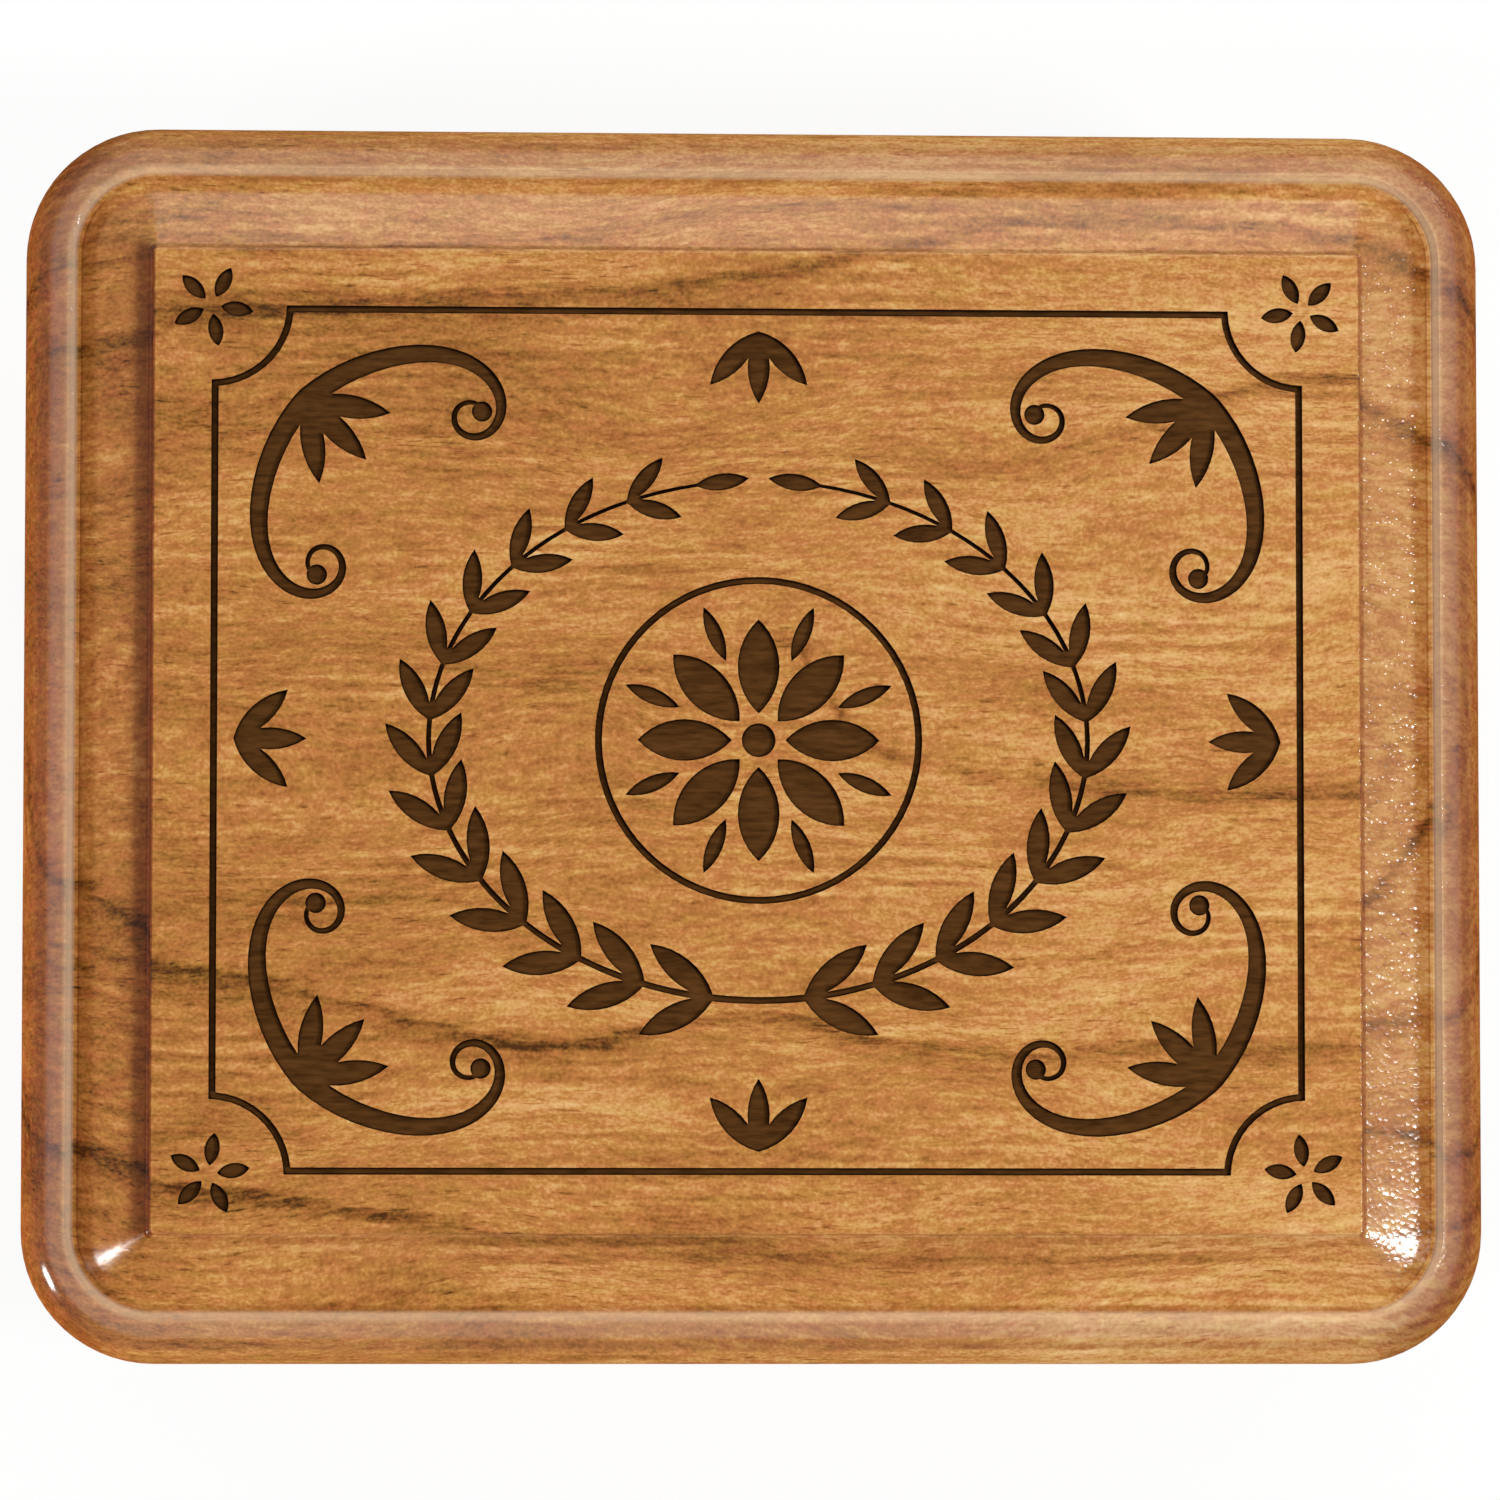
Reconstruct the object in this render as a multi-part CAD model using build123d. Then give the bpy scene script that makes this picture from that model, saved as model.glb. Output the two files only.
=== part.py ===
from build123d import *
import math
import os

# A hinged wooden keepsake box: four mitred walls, a captured bottom, an overhanging solid lid with a
# moulded edge and an engraved raised panel, and two brass butt hinges let into the back.
# Millimetres, +Z up, front towards -Y. The origin is the middle of the footprint, on the surface that
# the feet stand on.

# Lid board: from the outside in, an upright edge, a rounded nose up to a crest, a shallow groove, a long
# gentle slope and an upright step to the raised panel
lid_width = 165.1
lid_depth = 139.7
side_height = 3.2
lower_edge_radius = 1.0
nose_radius = 6.1
nose_width = 5.05
rim_groove_depth = 0.4
rim_groove_wall_width = 0.8
rim_groove_floor_width = 0.5
slope_width = 8.15
slope_angle = 12
slope_foot_radius = 0.8
panel_step = 2.4
panel_corner_radius = 0.5
panel_arris_radius = 0.35

# Engraved ornament on the raised panel: a border, an oval laurel wreath, a rosette, a scroll in each
# corner and a fan of leaves at the middle of each side
engraving_depth = 0.8
border_inset = 6.6
border_line = 0.8
border_scoop_radius = 8.4
wreath_width_share = 0.272
wreath_depth_share = 0.264
wreath_leaf_pairs = 13
wreath_leaf_length = 9.4
wreath_leaf_bulge = 1.45
wreath_leaf_spread = 33
wreath_leaf_taper_share = 0.34
wreath_stem_width = 0.8
wreath_stem_tip_share = 0.5
wreath_stem_steps = 24
wreath_crossing_angle = 9
wreath_top_angle = 80
rosette_petals = 8
rosette_core_radius = 1.9
rosette_petal_start = 3.0
rosette_petal_end = 13.6
rosette_petal_bulge = 2.35
rosette_dart_start = 9.6
rosette_dart_end = 16.2
rosette_dart_bulge = 0.9
rosette_ring_radius = 18.4
rosette_ring_line = 0.8
flower_petals = 5
flower_petal_start = 1.0
flower_petal_end = 4.7
flower_petal_bulge = 0.85
scroll_margin = 10.6
scroll_length = 78.0
scroll_line = 2.5
scroll_tip_line = 0.5
scroll_ball_radius = 1.15
scroll_bend_angle = 45
scroll_bend_power = 2
scroll_curl_angle = 400
scroll_curl_power = 3
scroll_swell_power = 1.5
scroll_steps = 48
fan_leaves = 3
corner_leaf_length = 9.6
corner_leaf_bulge = 1.35
corner_leaf_spread = 36
side_leaf_margin = 2.6
side_leaf_length = 8.2
side_leaf_bulge = 1.25
side_leaf_spread = 42

# Walls of the box, mitred at the corners
overhang = 4.5
wall_thickness = 10.0
wall_height = 48.0
wall_arris_radius = 0.6

# Loose splines inside the mitres
spline_thickness = 2.0
spline_width = 7.0
spline_margin = 6.0
spline_place_share = 0.3

# Bottom panel in its groove, with a felt sheet on it
bottom_thickness = 4.0
bottom_rise = 4.0
groove_depth = 4.0
felt_thickness = 1.2
felt_margin = 0.4

# Felt sheet under the lid
lid_felt_thickness = 1.2
lid_felt_margin = 3.0
lid_felt_corner_radius = 4.0

# Felt feet under the corners, and soft pads that the lid closes on
foot_radius = 4.2
foot_height = 2.0
foot_inset = 7.4
foot_edge_radius = 0.5
pad_radius = 3.0
pad_inset = 14.0
lid_gap = 0.6

# Brass butt hinges, and their screws
hinge_inset = 32.05
hinge_length = 25.4
leaf_width = 8.6
leaf_thickness = 1.1
leaf_corner_radius = 0.8
barrel_radius = 2.1
pin_radius = 1.0
pin_head_height = 0.5
pin_head_radius = 1.6
axis_setback = 0.8
knuckle_count = 5
knuckle_gap = 0.2
screw_spacing = 15.0
screw_setback = 4.9
screw_head_radius = 1.9
screw_head_height = 1.0
screw_shank_radius = 0.85
screw_length = 7.2
screw_point = 1.4
screw_slot_width = 0.45
screw_slot_depth = 0.4

# Fits
running_clearance = 0.05
fit_clearance = 0.1
relief_clearance = 0.4
overrun = 5.0

# Worked-out sizes and heights
rim_groove_inset = nose_width + rim_groove_wall_width
slope_inset = rim_groove_inset + rim_groove_floor_width
panel_inset = slope_inset + slope_width
lid_corner_radius = panel_inset + panel_corner_radius
panel_width = lid_width - 2 * panel_inset
panel_depth = lid_depth - 2 * panel_inset
wall_width = lid_width - 2 * overhang
wall_depth = lid_depth - 2 * overhang
wall_corner_radius = lid_corner_radius - overhang
inner_width = wall_width - 2 * wall_thickness
inner_depth = wall_depth - 2 * wall_thickness
wall_low = foot_height
wall_top = wall_low + wall_height
bottom_low = wall_low + bottom_rise
bottom_top = bottom_low + bottom_thickness
lid_low = wall_top + lid_gap
nose_top = lid_low + side_height + nose_radius
crest = nose_top - nose_radius + math.sqrt(nose_radius**2 - (nose_radius - nose_width) ** 2)
rim_groove_low = crest - rim_groove_depth
panel_foot = rim_groove_low + slope_width * math.tan(math.radians(slope_angle))
panel_top = panel_foot + panel_step
axis_y = wall_depth / 2 + axis_setback
axis_z = wall_top + lid_gap / 2
knuckle_pitch = hinge_length / knuckle_count

LEFT, RIGHT = -1, 1
FRONT, BACK = -1, 1
BELOW, ABOVE = -1, 1
SIDES = {"left": LEFT, "right": RIGHT}
ENDS = {"front": FRONT, "back": BACK}
CORNERS = {f"{end}_{side}": (sx, sy) for end, sy in ENDS.items() for side, sx in SIDES.items()}


def block(width, depth, low, high, radius=0):
    """Upright block about the Z axis between two heights, with rounded corners if a radius is given."""
    outline = RectangleRounded(width, depth, radius) if radius else Rectangle(width, depth)
    return Pos(0, 0, low) * extrude(outline, high - low)


def upright_cylinder(x, y, radius, low, high):
    """Cylinder along Z between two heights."""
    return Pos(x, y, low) * extrude(Circle(radius), high - low)


def axis_cylinder(x, radius, length):
    """Cylinder along the hinge axis, centred on x."""
    return Pos(x, axis_y, axis_z) * Rot(0, 90, 0) * Cylinder(radius, length)


def polar(radius, degrees):
    """Point at a radius and an angle about the origin."""
    return Vector(radius, 0).rotate(Axis.Z, degrees)


# Engraved ornament


def leaf(base, tip, bulge):
    """Pointed leaf between two points, as two arcs that stand off its midline by the bulge."""
    middle = (base + tip) / 2
    side = (tip - base).normalized().rotate(Axis.Z, 90) * bulge
    return make_face([ThreePointArc(base, middle + side, tip), ThreePointArc(tip, middle - side, base)])


def ribbon(points, widths):
    """Stroke of changing width along a row of points."""
    left, right = [], []
    for i, (point, width) in enumerate(zip(points, widths)):
        before, after = points[max(i - 1, 0)], points[min(i + 1, len(points) - 1)]
        side = (after - before).normalized().rotate(Axis.Z, 90) * (width / 2)
        left.append(point + side)
        right.append(point - side)
    ends = [Line(left[-1], right[-1]), Line(right[0], left[0])]
    return make_face([Spline(*left), ends[0], Spline(*reversed(right)), ends[1]])


def petal_ring(count, start, end, bulge, turn):
    """Ring of petals about the origin."""
    angles = [turn + i * 360 / count for i in range(count)]
    return [leaf(polar(start, angle), polar(end, angle), bulge) for angle in angles]


def leaf_fan(heading, spread, length, bulge):
    """A few leaves that spread from the origin, about a heading."""
    angles = [heading + spread * (i - (fan_leaves - 1) / 2) for i in range(fan_leaves)]
    return [leaf(Vector(0, 0), polar(length, angle), bulge) for angle in angles]


def scooped_outline(inset):
    """Area inside the border, drawn in by an inset, with scooped corners."""
    width, depth = panel_width - 2 * border_inset, panel_depth - 2 * border_inset
    shape = Rectangle(width - 2 * inset, depth - 2 * inset)
    for sx, sy in CORNERS.values():
        shape -= Pos(sx * width / 2, sy * depth / 2) * Circle(border_scoop_radius + inset)
    return shape


def border():
    """Thin line round the panel."""
    return scooped_outline(0) - scooped_outline(border_line)


def rosette():
    """Petals with darts between them, in a thin ring."""
    ring = Circle(rosette_ring_radius) - Circle(rosette_ring_radius - rosette_ring_line)
    petals = petal_ring(rosette_petals, rosette_petal_start, rosette_petal_end, rosette_petal_bulge, 0)
    half_turn = 180 / rosette_petals
    darts = petal_ring(rosette_petals, rosette_dart_start, rosette_dart_end, rosette_dart_bulge, half_turn)
    return [Circle(rosette_core_radius), ring, *petals, *darts]


def wreath_point(angle):
    """Point of the wreath's oval, and the way that the right-hand branch grows there."""
    half_width, half_depth = panel_width * wreath_width_share, panel_depth * wreath_depth_share
    turn = math.radians(angle)
    point = Vector(half_width * math.cos(turn), half_depth * math.sin(turn))
    growth = Vector(-half_width * math.sin(turn), half_depth * math.cos(turn)).normalized()
    return point, growth


def wreath_stem():
    """Tapering stem of the right-hand branch, which starts past the middle of the oval's foot."""
    first = -90 - wreath_crossing_angle
    shares = [i / wreath_stem_steps for i in range(wreath_stem_steps + 1)]
    points = [wreath_point(first + share * (wreath_top_angle - first))[0] for share in shares]
    return ribbon(points, [wreath_stem_width * (1 - share * wreath_stem_tip_share) for share in shares])


def wreath_branch():
    """Right-hand laurel branch: a stem, leaves in pairs that get smaller, and one leaf at the tip."""
    pieces = [wreath_stem()]
    first = -90 + wreath_crossing_angle
    for i in range(wreath_leaf_pairs + 1):
        share = i / wreath_leaf_pairs
        size = 1 - wreath_leaf_taper_share * share
        point, growth = wreath_point(first + share * (wreath_top_angle - first))
        base = point - growth * wreath_stem_width
        at_tip = i == wreath_leaf_pairs
        for spread in (0,) if at_tip else (wreath_leaf_spread, -wreath_leaf_spread):
            tip = base + growth.rotate(Axis.Z, spread) * (wreath_leaf_length * size)
            pieces.append(leaf(base, tip, wreath_leaf_bulge * size))
    return pieces


def scroll_points():
    """Points of a scroll about its own middle: it bends round the corner and curls up at both ends."""
    half_steps = scroll_steps // 2
    step = scroll_length / scroll_steps
    halves = []
    for way in (LEFT, RIGHT):
        point, heading, row = Vector(0, 0), 0, []
        for i in range(half_steps):
            share = (i + 0.5) / half_steps
            bend = scroll_bend_angle * (scroll_bend_power + 1) * (1 - share) ** scroll_bend_power
            curl = scroll_curl_angle * (scroll_curl_power + 1) * share**scroll_curl_power
            heading -= (bend + curl) / half_steps
            point = point + Vector(way * step, 0).rotate(Axis.Z, way * heading)
            row.append(point)
        halves.append(row)
    return [*reversed(halves[0]), Vector(0, 0), *halves[1]]


def corner_scroll():
    """Scroll in one corner: a stroke that swells, a ball at each end, and a fan of leaves inside it."""
    points = scroll_points()
    swell = [math.sin(math.pi * i / scroll_steps) ** scroll_swell_power for i in range(scroll_steps)] + [0]
    stroke = ribbon(points, [scroll_tip_line + (scroll_line - scroll_tip_line) * share for share in swell])
    balls = [Pos(*point) * Circle(scroll_ball_radius) for point in (points[0], points[-1])]
    leaves = leaf_fan(-90, corner_leaf_spread, corner_leaf_length, corner_leaf_bulge)
    inset = border_inset + scroll_margin
    place = Pos(panel_width / 2 - inset, panel_depth / 2 - inset) * Rot(0, 0, -scroll_bend_angle)
    return [place * piece for piece in [stroke, *balls, *leaves]]


def corner_flower():
    """Small flower in the scooped corner of the border."""
    place = Pos(panel_width / 2 - border_inset, panel_depth / 2 - border_inset)
    petals = petal_ring(flower_petals, flower_petal_start, flower_petal_end, flower_petal_bulge, 45)
    return [place * petal for petal in petals]


def side_fan(place, heading):
    """Fan of leaves that grows inwards from the middle of one side of the border."""
    return [place * piece for piece in leaf_fan(heading, side_leaf_spread, side_leaf_length, side_leaf_bulge)]


def ornament():
    """The whole engraved drawing, on the XY plane."""
    inset = border_inset + side_leaf_margin
    back_fan = side_fan(Pos(0, panel_depth / 2 - inset), -90)
    right_fan = side_fan(Pos(panel_width / 2 - inset, 0), 180)
    corner = [*corner_scroll(), *corner_flower()]
    right_side = [*right_fan, *wreath_branch(), *corner, *[mirror(piece, Plane.XZ) for piece in corner]]
    left_side = [mirror(piece, Plane.YZ) for piece in right_side]
    front_fan = [mirror(piece, Plane.XZ) for piece in back_fan]
    return Sketch() + [*rosette(), *right_side, *left_side, *back_fan, *front_fan, border()]


# Lid


def lid_outline(inset, height):
    """Outline of the lid drawn in by an inset, at a height. All insets share the corners' middles."""
    width, depth = lid_width - 2 * inset, lid_depth - 2 * inset
    return Pos(0, 0, height) * RectangleRounded(width, depth, lid_corner_radius - inset)


def sloped_block(low_inset, low, high_inset, high):
    """Block between two outlines of the lid, with straight sloping sides."""
    return loft([lid_outline(low_inset, low), lid_outline(high_inset, high)], ruled=True)


def at_panel_foot(edge):
    """Whether an edge runs round the foot of the raised panel, at the head of the slope."""
    return abs(edge.center().Z - panel_foot) < slope_foot_radius / 2


def lid_board():
    """Solid lid with the moulded edge, the engraved panel and the hinge seats."""
    board = extrude(lid_outline(0, lid_low), nose_top - lid_low)
    board = fillet(board.edges().group_by(Axis.Z)[-1], nose_radius)
    board = fillet(board.edges().group_by(Axis.Z)[0], lower_edge_radius)
    above = crest + rim_groove_depth
    board -= sloped_block(rim_groove_inset, rim_groove_low, nose_width - rim_groove_wall_width, above)
    panel = extrude(lid_outline(panel_inset, rim_groove_low), panel_top - rim_groove_low)
    panel = fillet(panel.edges().group_by(Axis.Z)[-1], panel_arris_radius)
    raised = sloped_block(slope_inset, rim_groove_low, panel_inset, panel_foot) + panel
    raised = fillet(raised.edges().filter_by(at_panel_foot), slope_foot_radius)
    board += raised
    board -= extrude(Pos(0, 0, panel_top) * ornament(), -engraving_depth)
    for sx in SIDES.values():
        board -= hinge_seat(sx, ABOVE)
    return board


def lid_felt():
    """Felt sheet glued under the lid, inside the walls."""
    width, depth = inner_width - 2 * lid_felt_margin, inner_depth - 2 * lid_felt_margin
    return block(width, depth, lid_low - lid_felt_thickness, lid_low, lid_felt_corner_radius)


# Box


def wall_ring():
    """The four walls as one ring, with eased edges and the groove for the bottom panel."""
    ring = block(wall_width, wall_depth, wall_low, wall_top, wall_corner_radius)
    ring -= block(inner_width, inner_depth, wall_low - overrun, wall_top + overrun)
    levels = ring.edges().group_by(Axis.Z)
    ring = fillet(levels[0] + levels[-1], wall_arris_radius)
    width, depth = inner_width + 2 * groove_depth, inner_depth + 2 * groove_depth
    return ring - block(width, depth, bottom_low, bottom_top + fit_clearance)


def mitre_wedge(long_half, short_half, turn):
    """Upright wedge that cuts one wall out of the ring, between its two mitres."""
    outer, near = long_half + overrun, short_half + overrun
    reach = wall_thickness + overrun
    inner, far = long_half - reach, short_half - reach
    outline = Polyline((-outer, -near), (outer, -near), (inner, -far), (-inner, -far), close=True)
    wedge = extrude(make_face(outline), wall_height + 2 * overrun)
    return Rot(0, 0, turn) * Pos(0, 0, wall_low - overrun) * wedge


def spline_box(corner, clearance):
    """Space of the loose spline across one mitre, or with a clearance, its slot."""
    sx, sy = CORNERS[corner]
    step = wall_thickness * spline_place_share
    low, high = bottom_top + spline_margin - clearance, wall_top - spline_margin + clearance
    strip = block(spline_width + 2 * clearance, spline_thickness + 2 * clearance, low, high)
    place = Pos(sx * (inner_width / 2 + step), sy * (inner_depth / 2 + step))
    return place * Rot(0, 0, -sx * sy * 45) * strip


def walls():
    """The four walls by name, with spline slots, and hinge seats in the back one."""
    ring = wall_ring()
    for corner in CORNERS:
        ring -= spline_box(corner, fit_clearance)
    for sx in SIDES.values():
        ring -= hinge_seat(sx, BELOW)
    half_width, half_depth = wall_width / 2, wall_depth / 2
    wedges = {
        "front_wall": mitre_wedge(half_width, half_depth, 0),
        "back_wall": mitre_wedge(half_width, half_depth, 180),
        "left_wall": mitre_wedge(half_depth, half_width, -90),
        "right_wall": mitre_wedge(half_depth, half_width, 90),
    }
    return {name: ring & wedge for name, wedge in wedges.items()}


def bottom_panel():
    """Plywood panel held in the walls' groove."""
    grip = groove_depth - fit_clearance
    return block(inner_width + 2 * grip, inner_depth + 2 * grip, bottom_low, bottom_top)


def bottom_felt():
    """Felt sheet laid on the bottom panel."""
    width, depth = inner_width - 2 * felt_margin, inner_depth - 2 * felt_margin
    return block(width, depth, bottom_top, bottom_top + felt_thickness)


def foot(corner):
    """Felt foot under one corner of the walls."""
    sx, sy = CORNERS[corner]
    x, y = sx * (wall_width / 2 - foot_inset), sy * (wall_depth / 2 - foot_inset)
    pad = upright_cylinder(x, y, foot_radius, 0, foot_height)
    return fillet(pad.edges().group_by(Axis.Z)[0], foot_edge_radius)


def closing_pad(sx):
    """Soft pad on the front wall that the lid closes on."""
    x, y = sx * (wall_width / 2 - pad_inset), FRONT * (wall_depth - wall_thickness) / 2
    return upright_cylinder(x, y, pad_radius, wall_top, lid_low - fit_clearance)


# Hinges


def hinge_x(sx):
    """Place of a hinge's middle along the axis."""
    return sx * (wall_width / 2 - hinge_inset)


def leaf_plate(sx, level, grow):
    """Flat plate of a hinge leaf, or with growth, its mortise."""
    middle = axis_z + level * (lid_gap + leaf_thickness) / 2
    plate = Box(hinge_length + 2 * grow, leaf_width + 2 * grow, leaf_thickness)
    return Pos(hinge_x(sx), axis_y - leaf_width / 2, middle) * plate


def screw_places(sx):
    """Places of a leaf's two screws."""
    return [(hinge_x(sx) + end * screw_spacing / 2, axis_y - screw_setback) for end in (LEFT, RIGHT)]


def screw_body(place, level, clearance):
    """Countersunk wood screw driven away from the lid gap, or with a clearance, its hole."""
    shank_radius = screw_shank_radius + clearance
    profile = Polyline(
        (0, 0),
        (screw_head_radius + clearance, 0),
        (shank_radius, -screw_head_height),
        (shank_radius, screw_point - screw_length),
        (0, -screw_length - clearance),
        close=True,
    )
    flip = Rot(180, 0, 0) if level == ABOVE else Rot(0, 0, 0)
    return screw_seat(place, level) * flip * revolve(Plane.XZ * make_face(profile), Axis.Z)


def screw_seat(place, level):
    """Middle of a screw's head, flush with the leaf's inner face."""
    return Pos(*place, axis_z + level * lid_gap / 2)


def hinge_seat(sx, level):
    """What is cut from the wood for one hinge: the mortise, the barrel's relief and the screw holes."""
    relief_length = hinge_length + 2 * (pin_head_height + relief_clearance)
    seat = leaf_plate(sx, level, fit_clearance)
    seat += axis_cylinder(hinge_x(sx), barrel_radius + relief_clearance, relief_length)
    for place in screw_places(sx):
        seat += screw_body(place, level, running_clearance)
    return seat


def hinge_leaf(sx, level):
    """One leaf with its share of the knuckles, countersunk for two screws."""
    x = hinge_x(sx)
    free_corners = leaf_plate(sx, level, 0).edges().filter_by(Axis.Z).group_by(Axis.Y)[0]
    plate = fillet(free_corners, leaf_corner_radius)
    middles = [x + (i + 0.5) * knuckle_pitch - hinge_length / 2 for i in range(knuckle_count)]
    first_own = 0 if level == BELOW else 1
    for middle in middles[1 - first_own :: 2]:
        plate -= axis_cylinder(middle, barrel_radius + knuckle_gap, knuckle_pitch + knuckle_gap)
    for middle in middles[first_own::2]:
        plate += axis_cylinder(middle, barrel_radius, knuckle_pitch - knuckle_gap)
    plate -= axis_cylinder(x, pin_radius + running_clearance, hinge_length + overrun)
    for place in screw_places(sx):
        plate -= screw_body(place, level, running_clearance)
    return plate


def hinge_pin(sx):
    """Hinge pin with a small head at each end."""
    pin = axis_cylinder(hinge_x(sx), pin_radius, hinge_length + pin_head_height)
    for end in (LEFT, RIGHT):
        x = hinge_x(sx) + end * (hinge_length + pin_head_height) / 2
        pin += axis_cylinder(x, pin_head_radius, pin_head_height)
    return pin


def hinge_screws(sx, level):
    """The two slotted screws of one leaf."""
    slot = Box(2 * screw_head_radius, screw_slot_width, 2 * screw_slot_depth)
    screws = [screw_body(place, level, 0) - screw_seat(place, level) * slot for place in screw_places(sx)]
    return Compound([screw.solid() for screw in screws])


def all_parts():
    """Every piece of the box by its node name."""
    parts = walls()
    parts["bottom_panel"] = bottom_panel()
    parts["bottom_felt"] = bottom_felt()
    parts["lid_board"] = lid_board()
    parts["lid_felt"] = lid_felt()
    for corner in CORNERS:
        parts[f"{corner}_spline"] = spline_box(corner, 0)
        parts[f"{corner}_foot"] = foot(corner)
    for side, sx in SIDES.items():
        parts[f"{side}_closing_pad"] = closing_pad(sx)
        parts[f"{side}_hinge_pin"] = hinge_pin(sx)
        for name, level in {"base": BELOW, "lid": ABOVE}.items():
            parts[f"{side}_hinge_{name}_leaf"] = hinge_leaf(sx, level)
            parts[f"{side}_hinge_{name}_screws"] = hinge_screws(sx, level)
    return parts


os.makedirs("parts", exist_ok=True)
for node, shape in all_parts().items():
    export_step(shape, f"parts/{node}.step")
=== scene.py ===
# %% [markdown]
# # A lacquered cherry keepsake box
#
# The box is already built as a precise model, one solid for each wooden, brass or felt piece. This script
# loads that model as a fixed frame and gives every surface its finish. The wood, plywood and brass keep
# their solids and only get materials. The felt pieces are soft, so they are modelled here as meshes and
# stand in for their solids.

# %% Load the model and measure it
import math

import bmesh
import bpy
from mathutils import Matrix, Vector, noise


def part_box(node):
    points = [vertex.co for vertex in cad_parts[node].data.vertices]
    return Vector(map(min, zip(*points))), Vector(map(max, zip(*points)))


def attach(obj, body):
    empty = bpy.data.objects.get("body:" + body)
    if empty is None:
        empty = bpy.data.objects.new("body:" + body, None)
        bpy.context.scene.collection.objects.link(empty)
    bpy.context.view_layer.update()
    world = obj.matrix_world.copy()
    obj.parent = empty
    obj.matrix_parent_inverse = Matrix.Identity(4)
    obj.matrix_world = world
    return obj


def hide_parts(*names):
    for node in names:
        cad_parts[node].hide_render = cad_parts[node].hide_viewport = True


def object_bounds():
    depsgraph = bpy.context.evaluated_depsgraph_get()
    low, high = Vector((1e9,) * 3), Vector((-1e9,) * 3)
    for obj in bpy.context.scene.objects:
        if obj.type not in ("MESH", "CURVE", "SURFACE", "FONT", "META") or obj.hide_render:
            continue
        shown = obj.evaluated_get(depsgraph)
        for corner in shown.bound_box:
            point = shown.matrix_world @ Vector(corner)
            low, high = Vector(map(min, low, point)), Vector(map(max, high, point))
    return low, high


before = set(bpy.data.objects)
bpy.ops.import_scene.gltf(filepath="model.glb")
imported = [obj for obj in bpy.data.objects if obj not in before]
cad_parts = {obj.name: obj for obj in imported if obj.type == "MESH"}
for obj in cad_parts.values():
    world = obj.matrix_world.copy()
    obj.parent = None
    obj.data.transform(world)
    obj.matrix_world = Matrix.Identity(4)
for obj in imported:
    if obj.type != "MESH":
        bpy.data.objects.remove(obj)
model_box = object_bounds()
MM = 0.001

# %% [markdown]
# ## Helpers
#
# Colours are written as the hex values of a paint chart, which are sRGB. Blender's shaders work in linear
# light, so one function turns a hex value into linear red, green and blue. A material is a small network of
# nodes, and one more function adds a node, sets its properties, joins its inputs and hands back the output
# that comes next.

# %% Colour and node helpers
def linear(hex_colour):
    """A linear RGBA colour from an sRGB hex value such as '#c08848'."""
    channels = [int(hex_colour[i:i + 2], 16) / 255 for i in (1, 3, 5)]
    straight = [c / 12.92 if c <= 0.04045 else ((c + 0.055) / 1.055) ** 2.4 for c in channels]
    return (*straight, 1.0)


def add(tree, kind, joins=None, out=0, **settings):
    """Add a node, set its properties and inputs (a socket is linked, a value is set), return one output."""
    made = tree.nodes.new("ShaderNode" + kind)
    for name, value in settings.items():
        setattr(made, name, value)
    for socket, value in (joins or {}).items():
        if isinstance(value, bpy.types.NodeSocket):
            tree.links.new(value, made.inputs[socket])
        else:
            made.inputs[socket].default_value = value
    return made.outputs[out]


def empty_material(name):
    """A new node material with nothing in it but its output, and that output node."""
    material = bpy.data.materials.new(name)
    material.use_nodes = True
    material.node_tree.nodes.clear()
    output = material.node_tree.nodes.new("ShaderNodeOutputMaterial")
    return material, material.node_tree, output


print("half grey, '#808080', in linear light:", round(linear("#808080")[0], 3))

# %% [markdown]
# ## The camera
#
# The photograph looks almost straight down on the lid, from a little to the left and in front of its
# middle. A long lens from a metre away gives the same faint perspective: the panel's far edges lean by no
# more than a degree.

# %% Camera over the lid
CAMERA_PLACE = (-0.0507, -0.0662, 1.0)
CAMERA_TURN = (3.97, -3.04, 0.01)
LENS, FILM_WIDTH = 201.1, 36.0

camera_data = bpy.data.cameras.new("camera")
camera_data.lens = LENS
camera_data.sensor_width = FILM_WIDTH
camera_data.clip_start = 0.01
camera = bpy.data.objects.new("camera", camera_data)
camera.location = CAMERA_PLACE
camera.rotation_euler = [math.radians(angle) for angle in CAMERA_TURN]
bpy.context.scene.collection.objects.link(camera)
bpy.context.scene.camera = camera
bpy.context.scene.view_settings.view_transform = "Standard"
print("camera at", tuple(round(v, 3) for v in camera.location), "with a lens of", LENS, "mm")

# %% [markdown]
# ## Floor
#
# The box stands on a plain white paper sweep that rises far away on every side. It is a profile turned
# round the upright axis, so that no corner of it shows from any side. What the camera and the reflections
# see of it is mostly plain white, and the rest is a lit surface, so that the box still has its shadow.

# %% Paper sweep
SWEEP_PROFILE = [(0.6, 0.0), (2.2, 0.0), (2.5, 0.05), (2.8, 0.2), (3.05, 0.5), (3.2, 1.0)]
SWEEP_SIDES = 48


def revolve(profile, sides):
    """A mesh turned round the Z axis from (radius, height) points, with a flat cap on its first ring."""
    mesh = bmesh.new()
    rings = []
    for radius, height in profile:
        turns = [2 * math.pi * k / sides for k in range(sides)]
        rings.append([mesh.verts.new((radius * math.cos(t), radius * math.sin(t), height)) for t in turns])
    mesh.faces.new(rings[0])
    for inner, outer in zip(rings, rings[1:]):
        for k in range(sides):
            mesh.faces.new([inner[k], outer[k], outer[(k + 1) % sides], inner[(k + 1) % sides]])
    return mesh


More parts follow.
